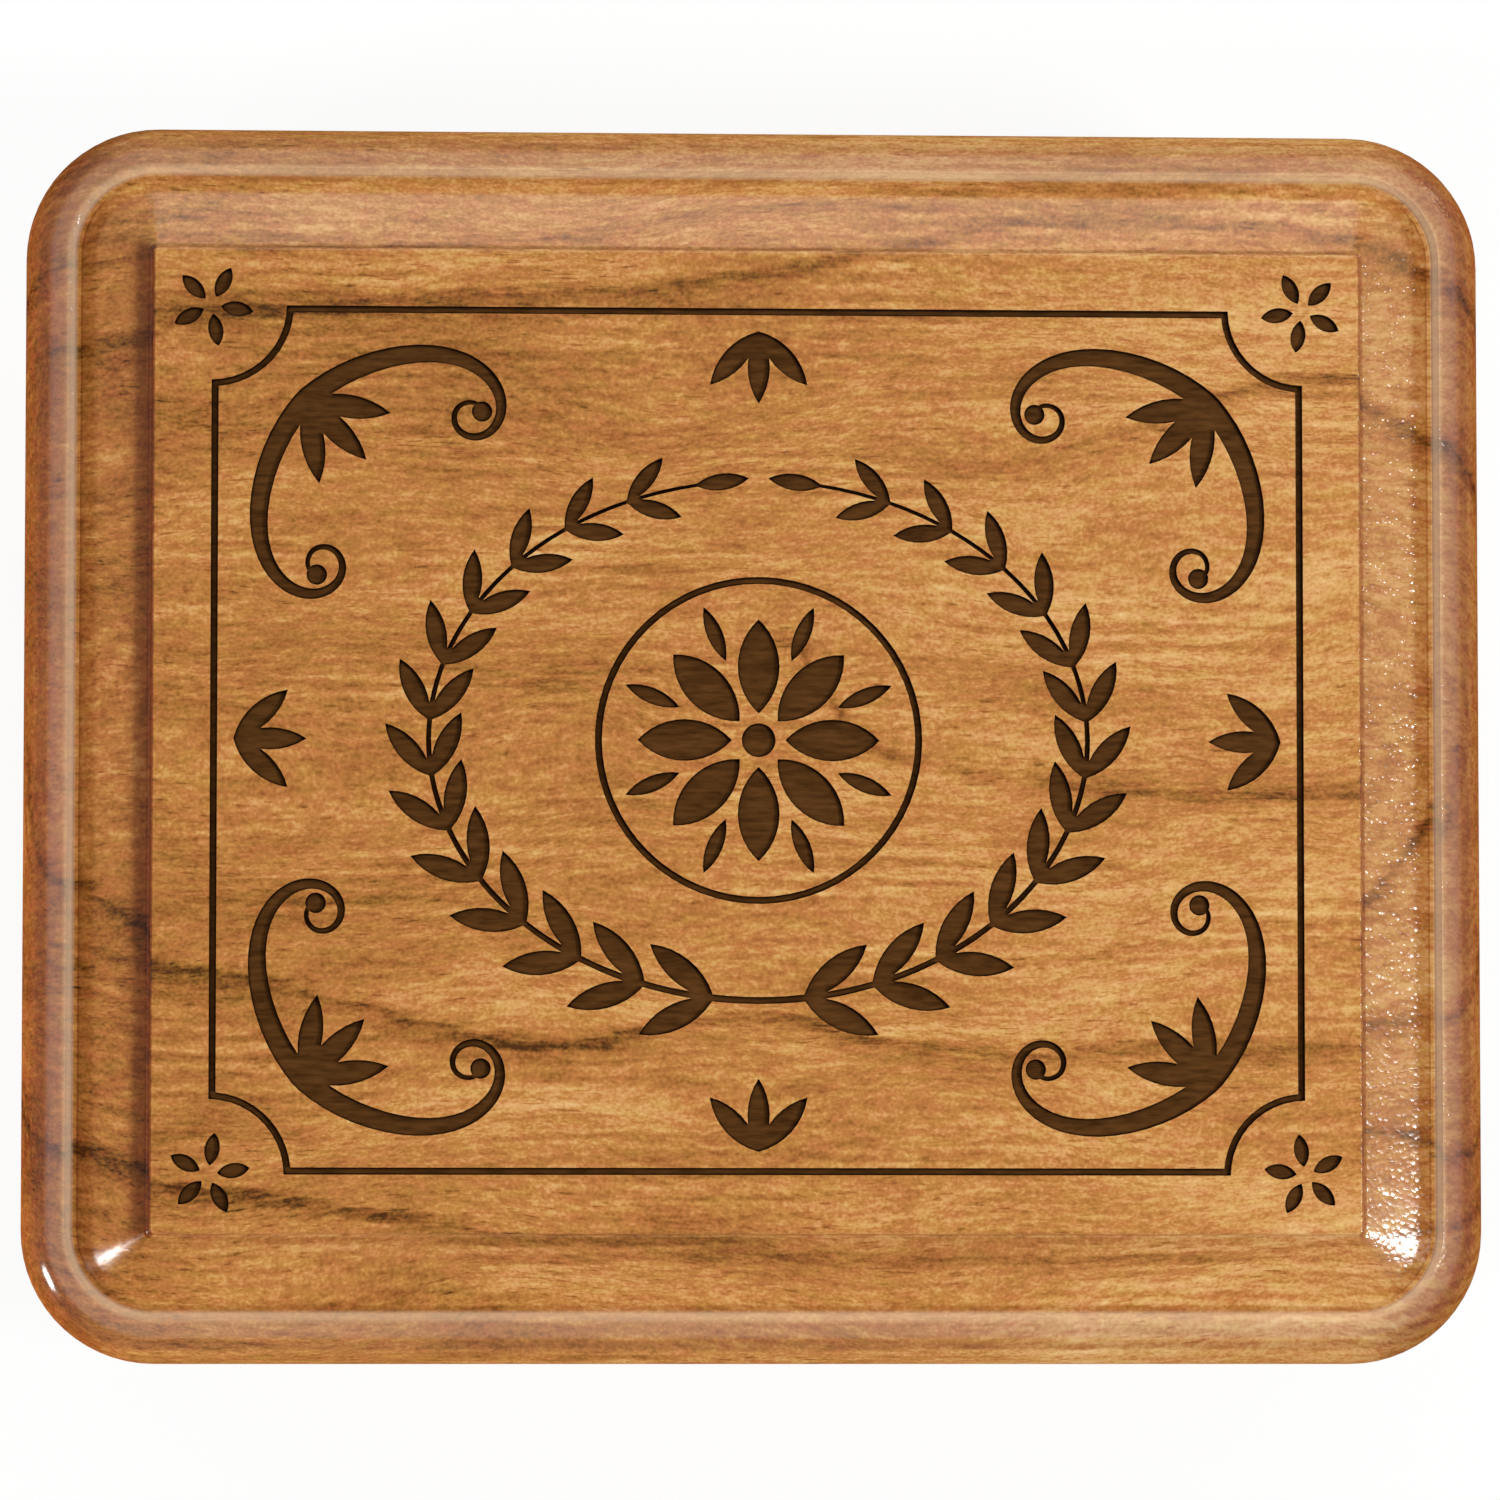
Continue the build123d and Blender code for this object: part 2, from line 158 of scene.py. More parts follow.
def smooth_object(name, mesh):
    """Turn an edited mesh into a smooth-shaded object of the scene."""
    data = bpy.data.meshes.new(name)
    mesh.to_mesh(data)
    mesh.free()
    for face in data.polygons:
        face.use_smooth = True
    thing = bpy.data.objects.new(name, data)
    bpy.context.scene.collection.objects.link(thing)
    return thing


floor = smooth_object("floor", revolve(SWEEP_PROFILE, SWEEP_SIDES))
print("floor faces:", len(floor.data.polygons))

# %% White paper
PLAIN_SHARE = 0.9

paper, tree, output = empty_material("white_paper_sweep")
rays = add(tree, "LightPath").node.outputs
seen = add(tree, "Math", {0: rays["Is Camera Ray"], 1: rays["Is Glossy Ray"]}, operation="MAXIMUM")
seen = add(tree, "Math", {0: seen, 1: rays["Is Transmission Ray"]}, operation="MAXIMUM")
share = add(tree, "Math", {0: seen, 1: PLAIN_SHARE}, operation="MULTIPLY")
lit = add(tree, "BsdfDiffuse", {"Color": linear("#f4f4f2")})
plain = add(tree, "Emission", {"Color": linear("#ffffff"), "Strength": 1.0})
tree.links.new(add(tree, "MixShader", {0: share, 1: lit, 2: plain}), output.inputs[0])
floor.data.materials.append(paper)
print("floor of", paper.name)

# %% [markdown]
# ## Sky and lamps
#
# The light is that of a small photo tent: pale cloth all round, brightest at the back right, dark only
# overhead, where the camera looks in. A world with a smooth change of brightness gives that without a wall
# of its own. The main lamp stands on the right and throws the panel's own shadow on the moulding's left
# side. A soft box at the back lays a pale veil on the slope there, and three small lamps are the ones that
# the corners mirror as bright spots.

# %% Photo tent
TENT_DIM, TENT_BRIGHT = 0.07, 1.02
BRIGHT_SIDE, BRIGHT_FADES = (78.0, 28.0), -0.3
OPENING_SIDE = (225.0, 79.0)
OPENING_INNER, OPENING_OUTER = 14.0, 27.0
OPENING_SHARE = 0.1


def heading(azimuth, elevation):
    """A unit vector from a compass angle (0 is +X, 90 is the back) and a height angle, both in degrees."""
    turn, rise = math.radians(azimuth), math.radians(elevation)
    return Vector((math.cos(turn) * math.cos(rise), math.sin(turn) * math.cos(rise), math.sin(rise)))


world = bpy.data.worlds.new("photo_tent")
bpy.context.scene.world = world
world.use_nodes = True
world.node_tree.nodes.clear()
tree = world.node_tree
direction = add(tree, "TexCoord", out=0)
towards = add(tree, "VectorMath", {0: direction, 1: heading(*BRIGHT_SIDE)}, out=1, operation="DOT_PRODUCT")
tent = add(tree, "MapRange", {0: towards, 1: BRIGHT_FADES, 2: 1.0, 3: TENT_DIM, 4: TENT_BRIGHT})
nearness = add(tree, "VectorMath", {0: direction, 1: heading(*OPENING_SIDE)}, out=1, operation="DOT_PRODUCT")
opening = add(tree, "MapRange", {0: nearness, 1: math.cos(math.radians(OPENING_OUTER)),
                                 2: math.cos(math.radians(OPENING_INNER)), 3: 1.0, 4: OPENING_SHARE},
              interpolation_type="SMOOTHSTEP")
level = add(tree, "Math", {0: tent, 1: opening}, operation="MULTIPLY")
sky = add(tree, "Background", {"Color": linear("#ffffff"), "Strength": level})
world_output = tree.nodes.new("ShaderNodeOutputWorld")
tree.links.new(sky, world_output.inputs[0])
print("tent light from", TENT_DIM, "to", TENT_BRIGHT, "with a dark opening overhead")

# %% Lamps
# Name, compass angle and height angle in degrees, distance and size in metres, watts.
LAMPS = [
    ("key_lamp", -15, 54.5, 1.04, 0.125, 6.0),
    ("back_soft_box", 84, 60, 1.1, 0.40, 1.5),
    ("front_left_lamp", 209.5, 60.3, 1.04, 0.05, 1.1),
    ("low_left_lamp", 206, 3.5, 0.6, 0.085, 2.6),
    ("low_right_lamp", 40, 8, 0.6, 0.08, 0.15),
]

lid_middle = Vector((0, 0, model_box[1][2]))
for name, azimuth, elevation, distance, size, watts in LAMPS:
    data = bpy.data.lights.new(name, "AREA")
    data.shape = "SQUARE"
    data.size = size
    data.energy = watts
    lamp = bpy.data.objects.new(name, data)
    away = heading(azimuth, elevation)
    lamp.location = lid_middle + away * distance
    lamp.rotation_euler = (-away).to_track_quat("-Z", "Y").to_euler()
    lamp.visible_camera = False
    bpy.context.scene.collection.objects.link(lamp)
print("lamps:", [row[0] for row in LAMPS])

# %% [markdown]
# ## Lacquered cherry
#
# Cherry is a fine-grained, golden red-brown wood. Its face shows long wavy growth lines, short dark flecks
# where pores are cut, and a silky mottle. The same wood cut across, as on the lid's two short edges, drinks
# more lacquer and looks darker, with dots instead of dashes. A picture wrapped round the board could not do
# both, so the wood is a solid texture: every point of the board asks how far it is along the trunk, across
# it and from its heart, and the cut faces show whatever the saw and the cutter met there.

# %% A place in the wood
def wood_place(tree, along):
    """Sockets for the place in the wood, in mm: the place with X along the grain, and its three parts."""
    metres = add(tree, "TexCoord", out=3)
    turn = (0, 0, 0) if along == "X" else (0, 0, math.radians(-90))
    place = add(tree, "Mapping", {"Vector": metres, "Rotation": turn, "Scale": (1 / MM,) * 3})
    parts = add(tree, "SeparateXYZ", {0: place}).node.outputs
    return place, parts[0], parts[1], parts[2]


def grain_noise(tree, place, length, width, detail=2.0):
    """Smooth noise drawn out along the grain, from the real length and width of its blobs in mm."""
    stretched = add(tree, "Mapping", {"Vector": place, "Scale": (1 / length, 1 / width, 1 / width)})
    return add(tree, "TexNoise", {"Vector": stretched, "Scale": 1.0, "Detail": detail, "Roughness": 0.5})


print("places in the wood are in mm,", round(1 / MM), "to the metre")

# %% [markdown]
# The wood between the growth lines is never one tone. Clouds as wide as a finger, flames and single bundles
# of fibre lie over each other, all drawn out along the grain, and the grain itself wanders from side to
# side. So the tone is a sum of noises, each with the size of one of these.

# %% Tone of the clear wood
DRIFT_SIZE, DRIFT = (45, 22), 5.0
CLEAR_TONE = 0.492
# Length and width of the blobs in mm, noise detail, and weight in the tone.
TONE_LAYERS = [(70, 14, 2.0, 0.16), (22, 5, 2.0, 0.20), (7, 0.9, 3.0, 0.20), (1.6, 0.6, 2.0, 0.22),
               (0.45, 0.35, 1.0, 0.22)]
PALER_TO_RIGHT = 0.0011


def wander(tree, place):
    """The place in the wood, moved from side to side by a few millimetres as the grain wanders."""
    drift = grain_noise(tree, place, *DRIFT_SIZE, detail=1.0)
    drift = add(tree, "MapRange", {0: drift, 3: -DRIFT, 4: DRIFT})
    sideways = add(tree, "CombineXYZ", {1: drift, 2: drift})
    return add(tree, "VectorMath", {0: place, 1: sideways}, operation="ADD")


def clear_tone(tree, flow, run):
    """Tone of the clear wood, a shade paler and yellower towards the right end."""
    tone = CLEAR_TONE
    for length, width, detail, weight in TONE_LAYERS:
        layer = grain_noise(tree, flow, length, width, detail)
        layer = add(tree, "MapRange", {0: layer, 3: -weight, 4: weight}, clamp=False)
        tone = add(tree, "Math", {0: layer, 1: tone}, operation="ADD")
    return add(tree, "Math", {0: run, 1: PALER_TO_RIGHT, 2: tone}, operation="MULTIPLY_ADD")


print("layers in the tone:", len(TONE_LAYERS))

# %% [markdown]
# Pores are the tree's water pipes, cut open by the plane: short dark dashes some 2.5 mm long that come in
# drifts. Real ones are about 0.1 mm wide. They are drawn at 0.36 mm, so that they still show. The lacquer
# sinks into them a little, so they also dent the surface.

# %% Pores
PORE_SIZE, PORE_EDGE = (2.6, 0.36), (0.60, 0.76)
CROWD_SIZE, CROWD_EDGE, CROWD_LEAST = (26, 5), (0.42, 0.62), 0.2
PORE_TONE, PORE_DENT = -0.24, -0.0045


def pore_dashes(tree, flow):
    """1 in the middle of a pore, 0 between the pores."""
    dash = grain_noise(tree, flow, *PORE_SIZE, detail=1.0)
    dash = add(tree, "MapRange", {0: dash, 1: PORE_EDGE[0], 2: PORE_EDGE[1]}, interpolation_type="SMOOTHSTEP")
    crowd = grain_noise(tree, flow, *CROWD_SIZE, detail=1.0)
    crowd = add(tree, "MapRange", {0: crowd, 1: CROWD_EDGE[0], 2: CROWD_EDGE[1], 3: CROWD_LEAST, 4: 1.0})
    return add(tree, "Math", {0: dash, 1: crowd}, operation="MULTIPLY")


print("pores of", PORE_SIZE, "mm")

# %% [markdown]
# Growth rings run round the tree's heart, the pith, which lay above this board. Every point of a ring comes
# out somewhere on the board's face, and asking where makes the lines on the face run on down the moulding
# and the edges, as they do in a real board.

# %% Growth rings
BOARD_FACE = model_box[1][2] / MM
PITH_HEIGHT = BOARD_FACE + 38.0


def ring_place(tree, across, height):
    """Where the growth ring through this point comes out on the board's face, in mm across the board."""
    drop = add(tree, "Math", {0: PITH_HEIGHT, 1: height}, operation="SUBTRACT")
    drop = add(tree, "Math", {0: drop, 1: 2.0}, operation="POWER")
    drop = add(tree, "Math", {0: drop, 1: (PITH_HEIGHT - BOARD_FACE) ** 2}, operation="SUBTRACT")
    square = add(tree, "Math", {0: across, 1: across, 2: drop}, operation="MULTIPLY_ADD")
    root = add(tree, "Math", {0: square}, operation="SQRT")
    side = add(tree, "Math", {0: across}, operation="SIGN")
    return add(tree, "Math", {0: root, 1: side}, operation="MULTIPLY")


print("the board's face is", round(BOARD_FACE, 1), "mm up, the pith", round(PITH_HEIGHT, 1), "mm")

# %% [markdown]
# The dark growth lines of this board are few and easy to follow, so each has its own gently bent
# path. A line is sharp on the side where the tree stopped growing for the winter, and fades out on the
# other.

# %% The board's dark growth lines
# Widths above and below the line in mm, and its path: mm along the board, mm across it, strength.
LID_LINES = [
    dict(above=2.0, below=6.0,
         path=[(-80, 47.5, 0.2), (-67, 48.0, 0.6), (-46, 49.2, 0.7), (-28, 50.2, 0.55), (-8, 51.7, 0.7),
               (6, 54.0, 0.6), (24, 60.5, 0.4), (64, 60.0, 0.5), (80, 55.0, 0.8)]),
    dict(above=1.5, below=3.5,
         path=[(-80, 56.5, 0.5), (-54, 57.0, 0.5), (-30, 58.3, 0.4), (0, 63.0, 0.3), (40, 66.0, 0.2),
               (80, 64.0, 0.2)]),
    dict(above=2.5, below=5.0,
         path=[(-80, 24.0, 0.0), (10, 29.0, 0.15), (32, 32.5, 0.3), (48, 37.5, 0.6), (60, 41.2, 0.8),
               (68, 41.0, 0.8), (80, 38.0, 0.9)]),
    dict(above=4.0, below=2.0,
         path=[(-80, 14.0, 0.0), (-4, 12.0, 0.0), (3.5, 10.8, 0.5), (8, 4.8, 0.7), (12, -0.5, 0.6),
               (23, -3.2, 0.5), (48, -6.2, 0.7), (68, -5.5, 0.6), (80, -4.0, 0.5)]),
    dict(above=2.0, below=4.5,
         path=[(-80, -24.0, 0.4), (-67, -25.3, 0.7), (-48, -28.9, 0.75), (-33, -32.8, 0.8),
               (-20, -34.2, 0.85), (-10, -31.8, 0.6), (0, -30.8, 0.6), (12, -33.4, 0.9), (24, -34.8, 0.7),
               (45, -34.3, 0.6), (80, -35.0, 0.7)]),
    dict(above=1.8, below=5.0,
         path=[(-80, -49.0, 0.5), (-67, -50.2, 0.8), (-49, -51.9, 0.75), (-35, -54.5, 0.6), (-15, -57.0, 0.4),
               (20, -60.0, 0.4), (80, -57.0, 0.6)]),
    dict(above=2.2, below=3.0,
         path=[(-80, -44.0, 0.0), (60, -44.5, 0.0), (70, -46.0, 0.7), (75, -47.5, 0.8), (78, -49.5, 0.7),
               (82, -50.5, 0.8)]),
    dict(above=2.0, below=3.0,
         path=[(-80, -25.0, 0.0), (62, -25.0, 0.0), (68.7, -22.7, 0.6), (74.3, -20.5, 0.7),
               (82, -18.5, 0.3)]),
]
print("growth lines drawn by hand:", len(LID_LINES))

# %% One growth line
SPAN = (-85.0, 85.0)
SHADE_DARK = 0.5
CORE_EDGE, CORE_DARK = (0.3, 0.05), 0.8


def growth_line(tree, along, ring, dashes, line):
    """Darkness of one growth line: a dashed dark core in a soft shade."""
    low, high = SPAN
    run = add(tree, "MapRange", {0: along, 1: low, 2: high})
    curves = []
    for column in (1, 2):
        curve = add(tree, "FloatCurve", {1: run}).node
        points = curve.mapping.curves[0].points
        for _ in range(len(line["path"]) - 2):
            points.new(0.5, 0.5)
        for point, stop in zip(points, line["path"]):
            value = (stop[1] - low) / (high - low) if column == 1 else stop[2]
            point.location = ((stop[0] - low) / (high - low), value)
        curve.mapping.extend = "HORIZONTAL"
        curve.mapping.update()
        curves.append(curve.outputs[0])
    centre = add(tree, "MapRange", {0: curves[0], 3: low, 4: high}, clamp=False)
    off = add(tree, "Math", {0: ring, 1: centre}, operation="SUBTRACT")
    over = add(tree, "Math", {0: off, 1: 1 / line["above"]}, operation="MULTIPLY")
    under = add(tree, "Math", {0: off, 1: -1 / line["below"]}, operation="MULTIPLY")
    far = add(tree, "Math", {0: over, 1: under}, operation="MAXIMUM")
    shade = add(tree, "MapRange", {0: far, 1: 1.0, 2: 0.0, 3: 0.0, 4: SHADE_DARK},
                interpolation_type="SMOOTHERSTEP")
    core = add(tree, "MapRange", {0: far, 1: CORE_EDGE[0], 2: CORE_EDGE[1], 3: 0.0, 4: CORE_DARK},
               interpolation_type="SMOOTHSTEP")
    dark = add(tree, "Math", {0: core, 1: dashes, 2: shade}, operation="MULTIPLY_ADD")
    return add(tree, "Math", {0: dark, 1: curves[1]}, operation="MULTIPLY")


print("growth lines may run from", SPAN[0], "to", SPAN[1], "mm along the board")

# %% [markdown]
# Between the dark lines, a ring in each 2.2 mm shows as a faint stripe here and there. The fibres make the
# edges of all of them ragged. The walls are cut from straighter wood with no line worth listing one by one,
# so long thin streaks of noise are their growth lines.

# %% Tone of the growth rings
RAGGED_SIZE, RAGGED = (9, 1.1), 1.4
STRIPE_SPACING = 2.2
PATCH_SIZE, PATCH_EDGE, STRIPE_TONE = (30, 9), (0.45, 0.65), 0.09
DASH_SIZE, DASH_EDGE, DASH_LEAST = (5.0, 0.6), (0.25, 0.6), 0.15
LINE_TONE = -0.36
STREAK_SIZE, STREAK_EDGE, STREAK_TONE = (85, 1.9), (0.56, 0.72), -0.22


def ring_tone(tree, place, flow, ring, run, lines, tone):
    """Darken the tone along the growth rings: faint stripes, then drawn lines or else long streaks."""
    ragged = grain_noise(tree, place, *RAGGED_SIZE, detail=3.0)
    ragged = add(tree, "MapRange", {0: ragged, 3: -RAGGED, 4: RAGGED})
    ring = add(tree, "Math", {0: ring, 1: ragged}, operation="ADD")
    stripe = add(tree, "Math", {0: ring, 1: 2 * math.pi / STRIPE_SPACING}, operation="MULTIPLY")
    stripe = add(tree, "Math", {0: stripe}, operation="SINE")
    patch = grain_noise(tree, flow, *PATCH_SIZE, detail=1.0)
    patch = add(tree, "MapRange", {0: patch, 1: PATCH_EDGE[0], 2: PATCH_EDGE[1], 3: 0.0, 4: STRIPE_TONE})
    tone = add(tree, "Math", {0: stripe, 1: patch, 2: tone}, operation="MULTIPLY_ADD")
    if not lines:
        streak = grain_noise(tree, flow, *STREAK_SIZE, detail=2.0)
        streak = add(tree, "MapRange", {0: streak, 1: STREAK_EDGE[0], 2: STREAK_EDGE[1], 3: 0.0,
                                        4: STREAK_TONE}, interpolation_type="SMOOTHSTEP")
        return add(tree, "Math", {0: streak, 1: tone}, operation="ADD")
    dashes = grain_noise(tree, flow, *DASH_SIZE, detail=2.0)
    dashes = add(tree, "MapRange", {0: dashes, 1: DASH_EDGE[0], 2: DASH_EDGE[1], 3: DASH_LEAST, 4: 1.0})
    for line in lines:
        dark = growth_line(tree, run, ring, dashes, line)
        tone = add(tree, "Math", {0: dark, 1: LINE_TONE, 2: tone}, operation="MULTIPLY_ADD")
    return tone


print("a faint ring in each", STRIPE_SPACING, "mm")

# %% [markdown]
# One ramp turns the tone into cherry's own colours, from the dark brown of a growth line to pale straw.
# Across the grain the wood drinks more lacquer and is darker and redder there. Some fibres are redder than
# others and some yellower.

# %% Colour of cherry
CHERRY_TONES = [(0.0, "#4d2a0e"), (0.25, "#8f551f"), (0.5, "#b97537"), (0.62, "#c88f50"), (0.78, "#d6a468"),
                (1.0, "#e6c494")]
END_GRAIN, END_FACING = "#c8a782", (0.05, 0.48)
BLUSH_SIZE, BLUSH_EDGE, BLUSH_HUE = (3.5, 1.2), (0.3, 0.7), (0.496, 0.514)
SATURATION = 0.97


def set_ramp(socket, stops):
    """Give the colour ramp that owns this socket its stops, a list of (place, hex colour)."""
    ramp = socket.node.color_ramp
    while len(ramp.elements) < len(stops):
        ramp.elements.new(1.0)
    for element, (place, colour) in zip(ramp.elements, stops):
        element.position = place
        element.color = linear(colour)


def cherry_colour(tree, flow, tone, towards_end):
    """The wood's colour from its tone and from how much the surface cuts across the grain."""
    facing = add(tree, "Math", {0: towards_end}, operation="ABSOLUTE")
    end_grain = add(tree, "MapRange", {0: facing, 1: END_FACING[0], 2: END_FACING[1]})
    wood = add(tree, "ValToRGB", {0: tone})
    set_ramp(wood, CHERRY_TONES)
    wood = add(tree, "Mix", {0: end_grain, 6: wood, 7: linear(END_GRAIN)}, out=2, data_type="RGBA",
               blend_type="MULTIPLY")
    blush = grain_noise(tree, flow, *BLUSH_SIZE, detail=3.0)
    blush = add(tree, "MapRange", {0: blush, 1: BLUSH_EDGE[0], 2: BLUSH_EDGE[1], 3: BLUSH_HUE[0],
                                   4: BLUSH_HUE[1]})
    return add(tree, "HueSaturation", {"Hue": blush, "Saturation": SATURATION, "Color": wood})


print("colours from", CHERRY_TONES[0][1], "to", CHERRY_TONES[-1][1])

# %% [markdown]
# ## The lid's moulding
#
# Several finishes depend on where a point lies on the lid's moulding: the rubbed crest with its painted
# reflection, the painted shade in its recesses, the torn end with its painted sheen, and the scorched
# engraving with its painted shade by the walls. To find its place, the material measures how far in from
# the lid's rounded outline a point lies, just as a marking gauge run round the edge would. The flat
# underside has no moulding, so all of it counts as plain wood.

# %% A marking gauge for the lid
LID_LOW, LID_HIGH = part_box("lid_board")
LID_HALF = ((LID_HIGH.x - LID_LOW.x) / 2 / MM, (LID_HIGH.y - LID_LOW.y) / 2 / MM)
LID_CORNER = 15.0
CREST_INSET = 5.05
GROOVE_INSET = 6.1
SLOPE_INSET = 8.0
PLAIN_INSET = 10.0
PANEL_INSET = 14.5
FACES_DOWN = -0.5


def edge_inset(tree, place):
    """How far in from the lid's outline a point of its upper side lies, in mm."""
    parts = add(tree, "SeparateXYZ", {0: place}).node.outputs
    over = []
    for part, half in zip(parts, LID_HALF):
        far = add(tree, "Math", {0: part}, operation="ABSOLUTE")
        over.append(add(tree, "Math", {0: far, 1: half - LID_CORNER}, operation="SUBTRACT"))
    corner = [add(tree, "Math", {0: value, 1: 0.0}, operation="MAXIMUM") for value in over]
    corner = add(tree, "CombineXYZ", {0: corner[0], 1: corner[1]})
    corner = add(tree, "VectorMath", {0: corner}, out=1, operation="LENGTH")
    side = add(tree, "Math", {0: over[0], 1: over[1]}, operation="MAXIMUM")
    side = add(tree, "Math", {0: side, 1: 0.0}, operation="MINIMUM")
    outside = add(tree, "Math", {0: corner, 1: side}, operation="ADD")
    gauge = add(tree, "Math", {0: LID_CORNER, 1: outside}, operation="SUBTRACT")
    upward = add(tree, "SeparateXYZ", {0: add(tree, "TexCoord", out=1)}, out=2)
    underside = add(tree, "Math", {0: upward, 1: FACES_DOWN}, operation="LESS_THAN")
    return add(tree, "Mix", {0: underside, 2: gauge, 3: PLAIN_INSET}, out=0, data_type="FLOAT")


print("lid half size in mm:", [round(value, 2) for value in LID_HALF])

# %% [markdown]
# The crest of the rounded edge was rubbed down last, which dulls its lacquer. The pinkish haze on the crest
# is a painted reflection of the tent's light, and the pale line on the groove's wall just inside it is a
# painted highlight, both mixed into the colour. The lacquer was sprayed from above, so it lies thin on the
# upright edge. The groove and the strip beside it are too narrow to rub flat, so they stay matt.

# %% The rubbed crest and its painted reflection
LACQUER = 0.6
# The haze is a painted reflection on the crest. The pale colour is a painted highlight on the groove's wall,
# and a painted sheen on the torn slope.
PAINTED_HAZE_REFLECTION, PAINTED_HAZE_SHARE = "#a38e8c", 0.24
PAINTED_PALE_SHEEN, PAINTED_SHEEN_SHARE = "#e8d0b0", 0.37
RUB_BEGINS = (2.4, 3.4)
RUB_ENDS = (CREST_INSET + 1.1, CREST_INSET + 0.5)
GROOVE_WALL = (CREST_INSET - 0.7, CREST_INSET + 0.3)
SPRAY_REACH, THIN_SPRAY = (0.6, 2.8), 0.03
RUBBED_GLOSS = 0.3
STRIP_ENDS, STRIP_GLOSS = (SLOPE_INSET - 0.5, SLOPE_INSET + 0.3), 0.04


def rub_crest_and_paint_sheen(tree, inset, wood):
    """Paint a reflection round the crest and dull its lacquer. Gives the colour, and the weight of the
    lacquer's gloss.
    """
    outer = add(tree, "MapRange", {0: inset, 1: RUB_BEGINS[0], 2: RUB_BEGINS[1]},
                interpolation_type="SMOOTHSTEP")
    inner = add(tree, "MapRange", {0: inset, 1: RUB_ENDS[0], 2: RUB_ENDS[1]}, interpolation_type="SMOOTHSTEP")
    rubbed = add(tree, "Math", {0: outer, 1: inner}, operation="MULTIPLY")
    # Mix in the painted reflection on the crest, then the painted highlight on the groove's wall.
    for colour, on_crest, on_wall in ((PAINTED_HAZE_REFLECTION, PAINTED_HAZE_SHARE, 0.0), (PAINTED_PALE_SHEEN, 0.0, PAINTED_SHEEN_SHARE)):
        veil = add(tree, "MapRange", {0: inset, 1: GROOVE_WALL[0], 2: GROOVE_WALL[1], 3: on_crest,
                                      4: on_wall}, interpolation_type="SMOOTHSTEP")
        veil = add(tree, "Math", {0: rubbed, 1: veil}, operation="MULTIPLY")
        wood = add(tree, "Mix", {0: veil, 6: wood, 7: linear(colour)}, out=2, data_type="RGBA")
    sprayed = add(tree, "MapRange", {0: inset, 1: SPRAY_REACH[0], 2: SPRAY_REACH[1], 3: THIN_SPRAY * LACQUER,
                                     4: LACQUER}, interpolation_type="SMOOTHSTEP")
    dulled = add(tree, "MapRange", {0: rubbed, 3: 1.0, 4: RUBBED_GLOSS})
    gloss = add(tree, "Math", {0: sprayed, 1: dulled}, operation="MULTIPLY")
    matt = add(tree, "MapRange", {0: inset, 1: STRIP_ENDS[0], 2: STRIP_ENDS[1], 3: STRIP_GLOSS, 4: 1.0},
               interpolation_type="SMOOTHSTEP")
    past = add(tree, "Math", {0: inset, 1: RUB_ENDS[1]}, operation="GREATER_THAN")
    matt = add(tree, "Mix", {0: past, 2: 1.0, 3: matt}, out=0, data_type="FLOAT")
    return wood, add(tree, "Math", {0: gloss, 1: matt}, operation="MULTIPLY")


print("lacquer weight", LACQUER, "and", RUBBED_GLOSS, "of it left on the rubbed crest")

# %% [markdown]
# The wood is darker along the nose's arris, in the groove, beside the groove on the two ends, and at the foot
# of the panel's step on the left end. In the groove this is painted shade, and beside it painted shading of a
# flatter strip that the moulding's shape doesn't have. At the left foot it is a painted shadow that deepens
# the one the panel's step throws to the left. Each place is a soft band of the gauge, and one brown
# multiplies the wood there.

# %% Painted shade in the recesses
# Painted shade: this brown darkens the groove, the strip beside it and the left foot, and also the nose's
# arris.
PAINTED_SHADE = "#b08a62"
# Middle, half width and soft edge of each band in mm.
ARRIS_BAND = (2.15, 0.2, 0.6)
GROOVE_BAND = (GROOVE_INSET, 0.3, 0.35)
STRIP_BAND = ((GROOVE_INSET + SLOPE_INSET) / 2, 0.7, 0.9)
FOOT_BEGINS = (PANEL_INSET - 3.3, PANEL_INSET - 0.9)
FOOT_ENDS = (PANEL_INSET + 0.3, PANEL_INSET + 0.1)
ON_END = (0.09, 0.18)
ARRIS_DARKENING, GROOVE_SHADE, STRIP_SHADE, FOOT_SHADOW = 0.35, 0.3, 0.4, 0.82


def band(tree, inset, middle, half, soft):
    """1 inside a band of the moulding, fading to 0 over its soft edges, all in mm."""
    off = add(tree, "Math", {0: inset, 1: middle}, operation="SUBTRACT")
    off = add(tree, "Math", {0: off}, operation="ABSOLUTE")
    return add(tree, "MapRange", {0: off, 1: half + soft, 2: half}, interpolation_type="SMOOTHSTEP")


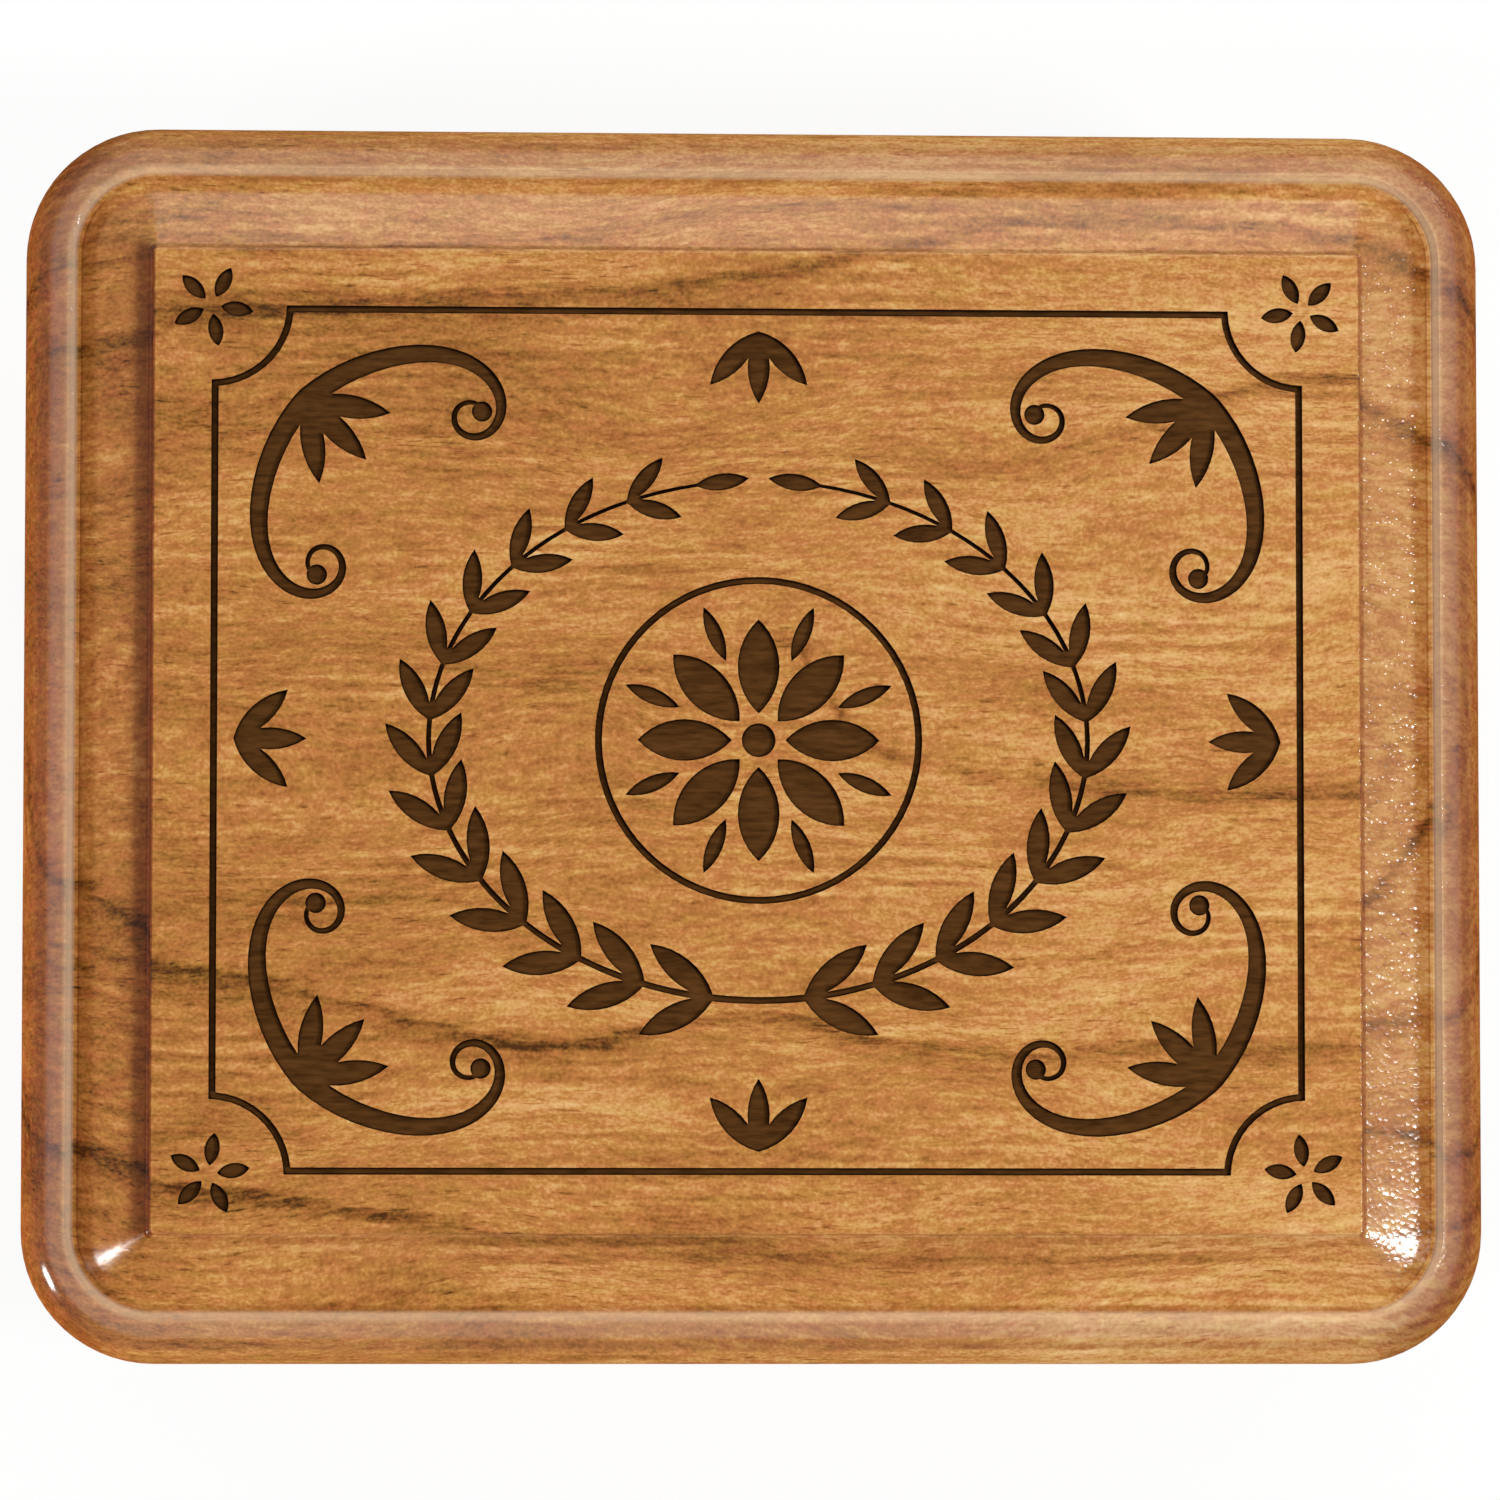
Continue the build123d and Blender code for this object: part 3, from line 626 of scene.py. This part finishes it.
def paint_recess_shade(tree, inset, towards_end, wood):
    """Paint shade into the recesses of the moulding, and darken the nose's arris."""
    facing = add(tree, "Math", {0: towards_end}, operation="ABSOLUTE")
    on_ends = add(tree, "MapRange", {0: facing, 1: ON_END[0], 2: ON_END[1]})
    on_left = add(tree, "MapRange", {0: towards_end, 1: -ON_END[0], 2: -ON_END[1]})
    groove = band(tree, inset, *GROOVE_BAND)
    strip = add(tree, "Math", {0: band(tree, inset, *STRIP_BAND), 1: on_ends}, operation="MULTIPLY")
    foot = add(tree, "MapRange", {0: inset, 1: FOOT_BEGINS[0], 2: FOOT_BEGINS[1]},
               interpolation_type="SMOOTHSTEP")
    under = add(tree, "MapRange", {0: inset, 1: FOOT_ENDS[0], 2: FOOT_ENDS[1]})
    foot = add(tree, "Math", {0: foot, 1: under}, operation="MULTIPLY")
    foot = add(tree, "Math", {0: foot, 1: on_left}, operation="MULTIPLY")
    # The groove, strip and left-foot bands are painted shade; the arris band only darkens the wood.
    darkening = add(tree, "Math", {0: band(tree, inset, *ARRIS_BAND), 1: ARRIS_DARKENING}, operation="MULTIPLY")
    for recess, amount in ((groove, GROOVE_SHADE), (strip, STRIP_SHADE), (foot, FOOT_SHADOW)):
        darkening = add(tree, "Math", {0: recess, 1: amount, 2: darkening}, operation="MULTIPLY_ADD")
    return add(tree, "Mix", {0: darkening, 6: wood, 7: linear(PAINTED_SHADE)}, out=2, data_type="RGBA",
               blend_type="MULTIPLY")


print("stain bands", [round(middle, 2) for middle, _, _ in (ARRIS_BAND, GROOVE_BAND, STRIP_BAND)], "mm in")

# %% [markdown]
# The cutter's iron was very slightly rounded, so the slope is hollow by a tenth of a millimetre or so. That
# is too little to see as a shape, but it bends the reflections, so it is a bump in the material.

# %% The slope's faint hollow
HOLLOW_INSET, HOLLOW_BEND = 9.0, 0.005
HOLLOW_SPAN = (SLOPE_INSET, PANEL_INSET - 0.3)


def hollow_slope(tree, inset):
    """Height of the slope in mm over the deepest line of its hollow."""
    low, high = HOLLOW_SPAN
    off = add(tree, "MapRange", {0: inset, 1: low, 2: high, 3: low - HOLLOW_INSET, 4: high - HOLLOW_INSET})
    square = add(tree, "Math", {0: off, 1: off}, operation="MULTIPLY")
    return add(tree, "Math", {0: square, 1: HOLLOW_BEND}, operation="MULTIPLY")


print("hollow at the step:", round(HOLLOW_BEND * (HOLLOW_SPAN[1] - HOLLOW_INSET) ** 2, 3), "mm")

# %% [markdown]
# Where the cutter left the board, at its right end, it tore the fibres. The lacquer over them is pebbly and
# glitters. The pale veil on that slope is painted sheen, mixed into the colour. The lacquer soaked in and
# lies thin on the slope, and only the front corner keeps all its gloss. The fibres tore deeper towards the
# back and at the foot of the step. Each pebble is a small dome, so it mirrors a lamp as one bright dot. A
# cell texture gives the distance from the middle of the nearest pebble, and its square is how far the dome
# has sagged there. A noise gathers the pebbles in clusters. Their heights are in millimetres, so that the
# bump has its real steepness.

# %% The torn end
TORN_FACING = (0.09, 0.16)
WHOLE_RELIEF, TORN_RELIEF = 0.003, 0.024
# The last number is the share of painted sheen mixed into the torn slope.
TORN_SLOPE, TORN_SHEEN_PAINT = ((SLOPE_INSET + PANEL_INSET) / 2, 2.3, 0.9), 0.07
TORN_FRONT, TORN_BACK = (-50.0, 0.65), (45.0, 2.2)
TORN_FOOT, FOOT_DEEPER = (PANEL_INSET - 1.3, PANEL_INSET - 0.6), 1.6
WHOLE_CORNER, THIN_GLOSS = (-54.0, -47.0), 0.349
CLUSTER_SIZE, CLUSTER_EDGE, CLUSTER_DEPTH = (2.0, 1.6), (0.35, 0.65), (0.5, 1.6)
PEBBLE_SIZE, DOME_SAG = 0.6, -1.1


def torn_relief(tree, towards_end):
    """Height of the lacquer's pebbles in mm, which is small except on a right end."""
    return add(tree, "MapRange", {0: towards_end, 1: TORN_FACING[0], 2: TORN_FACING[1], 3: WHOLE_RELIEF,
                                  4: TORN_RELIEF})


def tear_lid_and_paint_sheen(tree, inset, towards_end, across, torn, wood):
    """Paint sheen on the torn slope and make it duller and rougher. Gives colour, height and share of gloss.
    """
    slope = band(tree, inset, *TORN_SLOPE)
    # Painted sheen: a pale veil mixed into the colour of the torn slope.
    painted_sheen = add(tree, "MapRange", {0: towards_end, 1: TORN_FACING[0], 2: TORN_FACING[1], 3: 0.0,
                                   4: TORN_SHEEN_PAINT})
    painted_sheen = add(tree, "Math", {0: painted_sheen, 1: slope}, operation="MULTIPLY")
    wood = add(tree, "Mix", {0: painted_sheen, 6: wood, 7: linear(PAINTED_PALE_SHEEN)}, out=2, data_type="RGBA")
    thin = add(tree, "MapRange", {0: across, 1: WHOLE_CORNER[0], 2: WHOLE_CORNER[1], 3: 0.0,
                                  4: (THIN_GLOSS - 1) / TORN_SHEEN_PAINT})
    thin = add(tree, "Math", {0: painted_sheen, 1: thin, 2: 1.0}, operation="MULTIPLY_ADD")
    deeper = add(tree, "MapRange", {0: across, 1: TORN_FRONT[0], 2: TORN_BACK[0], 3: TORN_FRONT[1],
                                    4: TORN_BACK[1]})
    torn = add(tree, "Math", {0: torn, 1: deeper}, operation="MULTIPLY")
    foot = add(tree, "MapRange", {0: inset, 1: TORN_FOOT[0], 2: TORN_FOOT[1], 3: 1.0, 4: FOOT_DEEPER})
    return wood, add(tree, "Math", {0: torn, 1: foot}, operation="MULTIPLY"), thin


def pebbled(tree, place, torn):
    """Height of the lacquer in mm, with its pebbles in clusters."""
    cluster = grain_noise(tree, place, *CLUSTER_SIZE, detail=1.0)
    cluster = add(tree, "MapRange", {0: cluster, 1: CLUSTER_EDGE[0], 2: CLUSTER_EDGE[1], 3: CLUSTER_DEPTH[0],
                                     4: CLUSTER_DEPTH[1]})
    torn = add(tree, "Math", {0: torn, 1: cluster}, operation="MULTIPLY")
    off = add(tree, "TexVoronoi", {"Vector": place, "Scale": 1 / PEBBLE_SIZE}, feature="F1")
    sag = add(tree, "Math", {0: off, 1: off}, operation="MULTIPLY")
    sag = add(tree, "Math", {0: sag, 1: DOME_SAG}, operation="MULTIPLY")
    return add(tree, "Math", {0: sag, 1: torn}, operation="MULTIPLY")


print("pebbles of", PEBBLE_SIZE, "mm, about", TORN_RELIEF, "mm high")

# %% [markdown]
# ## The engraved panel
#
# The engraving is cut by a hot beam that leaves a flat, scorched floor 0.8 mm down. The cuts are real
# recesses of the board, so only the colour is left to add: everything inside the panel's outline that lies
# under its face is scorched brown. Beside the walls, where ambient occlusion finds the floor hemmed in, it
# is painted near black: painted shade.

# %% Scorched engraving with painted shade by its walls
ENGRAVED_DEPTH = 0.8
BURN_BEGINS, BURN_FULL = 0.05, 0.4
SOOT_SIZE, SCORCH_TONES = (2.5, 0.5), [(0.3, "#3f260f"), (0.7, "#5b3a1b")]
EDGE_SHADE_PAINT, EDGE_SHADE_REACH, EDGE_SHADE_FADE = "#140a04", 0.45, (0.55, 0.9)
BURNT_GLOSS = 0.15


def burn_engraving(tree, inset, height, place, wood, gloss):
    """Scorch the wood inside the panel's outline and below its face. Gives the colour and the gloss left."""
    inside = add(tree, "Math", {0: inset, 1: PANEL_INSET + ENGRAVED_DEPTH}, operation="GREATER_THAN")
    below = add(tree, "MapRange", {0: height, 1: BOARD_FACE - BURN_BEGINS * ENGRAVED_DEPTH,
                                   2: BOARD_FACE - BURN_FULL * ENGRAVED_DEPTH})
    burnt = add(tree, "Math", {0: inside, 1: below}, operation="MULTIPLY")
    scorch = add(tree, "ValToRGB", {0: grain_noise(tree, place, *SOOT_SIZE)})
    set_ramp(scorch, SCORCH_TONES)
    # Painted shade: ambient occlusion darkens the floor beside the walls.
    open_floor = add(tree, "AmbientOcclusion", {"Distance": EDGE_SHADE_REACH * MM}, out=1, samples=8)
    painted_edge_shade = add(tree, "MapRange", {0: open_floor, 1: EDGE_SHADE_FADE[0], 2: EDGE_SHADE_FADE[1], 3: 1.0, 4: 0.0},
               interpolation_type="SMOOTHSTEP")
    scorch = add(tree, "Mix", {0: painted_edge_shade, 6: scorch, 7: linear(EDGE_SHADE_PAINT)}, out=2, data_type="RGBA")
    wood = add(tree, "Mix", {0: burnt, 6: wood, 7: scorch}, out=2, data_type="RGBA")
    kept = add(tree, "MapRange", {0: burnt, 3: 1.0, 4: BURNT_GLOSS})
    return wood, add(tree, "Math", {0: gloss, 1: kept}, operation="MULTIPLY")


print("engraving scorched down to", ENGRAVED_DEPTH, "mm")

# %% [markdown]
# ## Cherry on the lid and walls
#
# All of this comes together in one material: the wood is a rough, matt body, and the lacquer is a thin
# clear coat over it that alone carries the gloss. The lid has its grain along its length. Each wall is a
# board of its own, with its grain along the wall.

# %% Lacquered cherry
WOOD_ROUGHNESS, LACQUER_ROUGHNESS = 0.5, 0.13


def cherry(name, along, lines=(), lid=False):
    """Lacquered cherry with its grain along X or Y. The lid's board also has its moulding and engraving."""
    material, tree, output = empty_material(name)
    place, run, across, height = wood_place(tree, along)
    flow = wander(tree, place)
    pores = pore_dashes(tree, flow)
    tone = clear_tone(tree, flow, run)
    tone = add(tree, "Math", {0: pores, 1: PORE_TONE, 2: tone}, operation="MULTIPLY_ADD")
    ring = ring_place(tree, across, height)
    tone = ring_tone(tree, place, flow, ring, run, lines, tone)
    normal = add(tree, "TexCoord", out=1)
    towards_end = add(tree, "SeparateXYZ", {0: normal}, out=0 if along == "X" else 1)
    wood = cherry_colour(tree, flow, tone, towards_end)
    torn = torn_relief(tree, towards_end)
    gloss = LACQUER
    if lid:
        inset = edge_inset(tree, place)
        wood = paint_recess_shade(tree, inset, towards_end, wood)
        wood, torn, thin = tear_lid_and_paint_sheen(tree, inset, towards_end, across, torn, wood)
        wood, gloss = rub_crest_and_paint_sheen(tree, inset, wood)
        gloss = add(tree, "Math", {0: gloss, 1: thin}, operation="MULTIPLY")
        wood, gloss = burn_engraving(tree, inset, height, place, wood, gloss)
    relief = pebbled(tree, place, torn)
    relief = add(tree, "Math", {0: pores, 1: PORE_DENT, 2: relief}, operation="MULTIPLY_ADD")
    if lid:
        relief = add(tree, "Math", {0: hollow_slope(tree, inset), 1: relief}, operation="ADD")
    bump = add(tree, "Bump", {"Height": relief, "Strength": 1.0, "Distance": MM})
    lacquered = add(tree, "BsdfPrincipled", {
        "Base Color": wood, "Roughness": WOOD_ROUGHNESS, "Specular IOR Level": 0.0, "Coat Weight": gloss,
        "Coat Roughness": LACQUER_ROUGHNESS, "Normal": bump, "Coat Normal": bump})
    tree.links.new(lacquered, output.inputs[0])
    return material


print("roughness of wood and lacquer:", WOOD_ROUGHNESS, LACQUER_ROUGHNESS)


# %% Lid and walls
def finish_node(node_name, material):
    """Put a material on a solid of the model."""
    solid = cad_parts[node_name]
    solid.data.materials.clear()
    solid.data.materials.append(material)


lid_cherry = cherry("lacquered_cherry_lid", "X", LID_LINES, lid=True)
finish_node("lid_board", lid_cherry)
wall_cherry_x = cherry("lacquered_cherry_front_and_back", "X")
wall_cherry_y = cherry("lacquered_cherry_sides", "Y")
for wall in ("front_wall", "back_wall"):
    finish_node(wall, wall_cherry_x)
for wall in ("left_wall", "right_wall"):
    finish_node(wall, wall_cherry_y)
print("cherry on the lid and four walls, nodes in the lid's:", len(lid_cherry.node_tree.nodes))

# %% [markdown]
# ## Felt
#
# Pressed wool felt has no weave: short curly fibres lie every way, matted together. Close up it looks
# cloudy and hairy, and at a grazing angle the loose fibre ends catch the light, which is what a sheen does.
# Real wool fibres are 0.03 mm thick. They are drawn at 0.25 mm, so that they still show.

# %% Pressed felt
CLOUD_SIZE, HAIR_SIZE = 6.0, 0.5
HAIR_SHARE, HAIR_HEIGHT = 0.6, 0.25


def felt(name, dark, light, ends):
    """Pressed wool felt between two colours: matted fibres, cloudy tone and a soft sheen in a third."""
    material, tree, output = empty_material(name)
    metres = add(tree, "TexCoord", out=3)
    place = add(tree, "Mapping", {"Vector": metres, "Scale": (1 / MM,) * 3})
    clouds = add(tree, "TexNoise", {"Vector": place, "Scale": 1 / CLOUD_SIZE, "Detail": 3.0})
    hairs = add(tree, "TexNoise", {"Vector": place, "Scale": 1 / HAIR_SIZE, "Detail": 4.0, "Distortion": 2.5})
    blend = add(tree, "Mix", {0: HAIR_SHARE, 2: clouds, 3: hairs}, out=0, data_type="FLOAT")
    colour = add(tree, "ValToRGB", {0: blend})
    set_ramp(colour, [(0.32, dark), (0.68, light)])
    bump = add(tree, "Bump", {"Height": hairs, "Strength": 0.6, "Distance": HAIR_HEIGHT * MM})
    wool = add(tree, "BsdfPrincipled", {
        "Base Color": colour, "Roughness": 0.95, "Sheen Weight": 0.35, "Sheen Roughness": 0.5,
        "Sheen Tint": linear(ends), "Specular IOR Level": 0.15, "Normal": bump})
    tree.links.new(wool, output.inputs[0])
    return material


lining_felt = felt("pressed_wool_felt_green", "#12301f", "#1f4a30", "#a9c8b4")
dot_felt = felt("pressed_felt_brown", "#2a1b12", "#4a3424", "#b79a82")
print("felts:", lining_felt.name, "and", dot_felt.name)

# %% [markdown]
# The lining is two cut sheets, one on the bottom and one glued under the lid. A cut sheet has a soft upper
# edge and is never quite even. A grid of points bent round its corners gives that, with the rim set down
# and a slow noise on the face.

# %% Grid of a felt sheet
SHEET_CELL = 2.0
RIM_DROP = 0.3
LUMP_SIZE, LUMP = 9, 0.06


def round_corner(x, y, half, corner):
    """Move a point of the square-cornered grid so that the outline gets its corner radius."""
    dx, dy = abs(x) - (half.x - corner), abs(y) - (half.y - corner)
    if dx <= 0 or dy <= 0:
        return x, y
    pull = max(dx, dy) / math.hypot(dx, dy)
    return math.copysign(half.x - corner + dx * pull, x), math.copysign(half.y - corner + dy * pull, y)


def sheet_layer(mesh, middle, half, cells, corner, thick):
    """A grid of vertices, flat where there is no thickness, and otherwise uneven with a lower rim."""
    rows = []
    for i in range(cells[0] + 1):
        row = []
        for j in range(cells[1] + 1):
            x, y = (2 * i / cells[0] - 1) * half.x, (2 * j / cells[1] - 1) * half.y
            x, y = round_corner(x, y, half, corner)
            rim = i in (0, cells[0]) or j in (0, cells[1])
            lump = noise.noise(Vector((x, y, 0)) / (LUMP_SIZE * MM)) * LUMP * MM + LUMP * MM
            z = thick - (RIM_DROP * thick if rim else lump) if thick else 0.0
            row.append(mesh.verts.new((middle.x + x, middle.y + y, z)))
        rows.append(row)
    return rows


print("felt grid of", SHEET_CELL, "mm, uneven by up to", 2 * LUMP, "mm")


# %% Sheets of lining felt
def felt_sheet(node_name, corner):
    """A cut sheet of felt as large as a node, lying on the ground, and that node's two corners."""
    low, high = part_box(node_name)
    size, middle = high - low, (low + high) / 2
    cells = [max(2, round(length / (SHEET_CELL * MM))) for length in (size.x, size.y)]
    half = Vector((size.x / 2, size.y / 2))
    mesh = bmesh.new()
    lower, upper = [sheet_layer(mesh, middle, half, cells, corner, thick) for thick in (0.0, size.z)]
    for i in range(cells[0]):
        for j in range(cells[1]):
            corners = ((i, j), (i + 1, j), (i + 1, j + 1), (i, j + 1))
            mesh.faces.new([upper[a][b] for a, b in corners])
            mesh.faces.new([lower[a][b] for a, b in reversed(corners)])
    rim = [(i, 0) for i in range(cells[0])] + [(cells[0], j) for j in range(cells[1])]
    rim += [(i, cells[1]) for i in range(cells[0], 0, -1)] + [(0, j) for j in range(cells[1], 0, -1)]
    for (a, b), (c, d) in zip(rim, rim[1:] + rim[:1]):
        mesh.faces.new([lower[a][b], lower[c][d], upper[c][d], upper[a][b]])
    bmesh.ops.recalc_face_normals(mesh, faces=mesh.faces)
    return smooth_object(node_name + "_sheet", mesh), low, high


for node_name, body, rests, corner, upside_down in (("bottom_felt", "box", "bottom_panel", 1.0, False),
                                                    ("lid_felt", "lid", "lid_board", 4.0, True)):
    sheet, low, high = felt_sheet(node_name, corner * MM)
    for vertex in sheet.data.vertices:
        vertex.co.z = high.z - vertex.co.z if upside_down else low.z + vertex.co.z
    if upside_down:
        sheet.data.flip_normals()
    sheet.data.materials.append(lining_felt)
    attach(sheet, body)
    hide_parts(node_name)
    print(sheet.name, "vertices:", len(sheet.data.vertices))

# %% [markdown]
# ## Felt dots
#
# The feet and the two closing pads are punched from thicker felt. A punched dot has a soft, slightly
# bulging rim and is flat where it is glued and where it rests. A profile turned round its middle gives
# that, and a fine noise makes the rim a little uneven.

# %% Felt feet and closing pads
DOT_SEGMENTS = 56
FLAT_RINGS = (0.35, 0.7)
SOFT_SHARE, SOFT_MOST = 0.35, 0.5
FUZZ, FUZZ_SIZE = 0.02, 0.8


def dot_profile(radius, tall):
    """(radius, height) points of a dot from the middle of its underside to the middle of its top."""
    soft = min(SOFT_SHARE * tall, SOFT_MOST * MM)
    profile = [(share * radius, 0.0) for share in FLAT_RINGS] + [(radius - 1.2 * soft, 0.0)]
    for angle in (-90, -60, -30, 0):
        turn = math.radians(angle)
        profile.append((radius - soft + soft * math.cos(turn), soft + soft * math.sin(turn)))
    return profile + [(rim, tall - z) for rim, z in reversed(profile)]


def felt_dot(node_name):
    """A punched felt dot in the place of a node: a turned profile with soft edges and a little unevenness."""
    low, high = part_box(node_name)
    middle = (low + high) / 2
    mesh = bmesh.new()
    rings = []
    for rim, z in dot_profile((high.x - low.x) / 2, high.z - low.z):
        ring = []
        for k in range(DOT_SEGMENTS):
            turn = 2 * math.pi * k / DOT_SEGMENTS
            spot = Vector((math.cos(turn) * rim, math.sin(turn) * rim, z))
            fuzz = 1 - FUZZ * (0.5 + 0.5 * noise.noise((spot + middle) / (FUZZ_SIZE * MM)))
            ring.append(mesh.verts.new((middle.x + spot.x * fuzz, middle.y + spot.y * fuzz, low.z + z)))
        rings.append(ring)
    for inner, outer in zip(rings, rings[1:]):
        for k in range(DOT_SEGMENTS):
            after = (k + 1) % DOT_SEGMENTS
            mesh.faces.new([inner[k], inner[after], outer[after], outer[k]])
    mesh.faces.new(list(reversed(rings[0])))
    mesh.faces.new(rings[-1])
    bmesh.ops.recalc_face_normals(mesh, faces=mesh.faces)
    piece = smooth_object(node_name + "_dot", mesh)
    piece.data.materials.append(dot_felt)
    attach(piece, "box")
    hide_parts(node_name)


feet = [f"{side}_{end}_foot" for side in ("front", "back") for end in ("left", "right")]
pads = ["left_closing_pad", "right_closing_pad"]
for node_name in feet + pads:
    felt_dot(node_name)
print("felt dots:", len(feet + pads))

# %% [markdown]
# ## Splines and bottom
#
# The loose splines in the mitred corners are bare beech, pale and finely flecked. The bottom is sanded
# birch plywood, whose rotary-cut face has a long faint figure. Neither is lacquered, so both are matt, and
# one function serves for both with the size of their flecks.

# %% Beech and birch plywood
FIGURE_SIZE = (60, 5)
FLECK_HEIGHT = 0.05


def pale_wood(name, tones, length, width):
    """A plain pale wood with its grain along X, from the size of its flecks in mm."""
    material, tree, output = empty_material(name)
    place = wood_place(tree, "X")[0]
    flecks = grain_noise(tree, place, length, width, detail=3.0)
    figure = grain_noise(tree, place, *FIGURE_SIZE, detail=2.0)
    blend = add(tree, "Mix", {0: 0.5, 2: flecks, 3: figure}, out=0, data_type="FLOAT")
    colour = add(tree, "ValToRGB", {0: blend})
    set_ramp(colour, tones)
    bump = add(tree, "Bump", {"Height": flecks, "Strength": 0.3, "Distance": FLECK_HEIGHT * MM})
    wood = add(tree, "BsdfPrincipled", {"Base Color": colour, "Roughness": 0.6, "Normal": bump})
    tree.links.new(wood, output.inputs[0])
    return material


beech = pale_wood("bare_beech", [(0.3, "#b98d5f"), (0.7, "#d9b486")], 2.5, 0.5)
birch = pale_wood("sanded_birch_plywood", [(0.3, "#cda777"), (0.7, "#e6cba0")], 12.0, 0.7)
for side in ("front", "back"):
    for end in ("left", "right"):
        finish_node(f"{side}_{end}_spline", beech)
finish_node("bottom_panel", birch)
print("beech on four splines, birch on the bottom")

# %% [markdown]
# ## Hinges
#
# The hinges are rolled brass strip, brushed along its length, and their screws are turned from brass rod.
# Brushing leaves fine lines that draw the reflections out, and handling leaves duller, browner patches.
# Real brush lines are a few hundredths of a millimetre wide. They are drawn at 0.12 mm, so that they still
# show.

# %% Brass
TOOL_LINE = 0.12
PATINA_SIZE = (6.0, 4.0)
LINE_HEIGHT = 0.02


def brass(name, colour, worn, roughness, line_length):
    """Brass with fine tool lines along X and slightly darker, duller patches."""
    material, tree, output = empty_material(name)
    place = wood_place(tree, "X")[0]
    lines = grain_noise(tree, place, line_length, TOOL_LINE, detail=2.0)
    patches = grain_noise(tree, place, *PATINA_SIZE, detail=2.0)
    tint = add(tree, "ValToRGB", {0: patches})
    set_ramp(tint, [(0.35, worn), (0.65, colour)])
    dull = add(tree, "MapRange", {0: lines, 3: roughness - 0.08, 4: roughness + 0.1})
    bump = add(tree, "Bump", {"Height": lines, "Strength": 0.25, "Distance": LINE_HEIGHT * MM})
    metal = add(tree, "BsdfPrincipled", {"Base Color": tint, "Metallic": 1.0, "Roughness": dull,
                                         "Normal": bump})
    tree.links.new(metal, output.inputs[0])
    return material


rolled_brass = brass("rolled_brass_brushed", "#dcb765", "#c69d4b", 0.3, 8.0)
turned_brass = brass("turned_brass", "#e0bd6c", "#cba554", 0.24, 0.8)
for side in ("left", "right"):
    for part in ("base_leaf", "lid_leaf", "pin"):
        finish_node(f"{side}_hinge_{part}", rolled_brass)
    for part in ("base_screws", "lid_screws"):
        finish_node(f"{side}_hinge_{part}", turned_brass)
print("brass on two hinges and their screws")
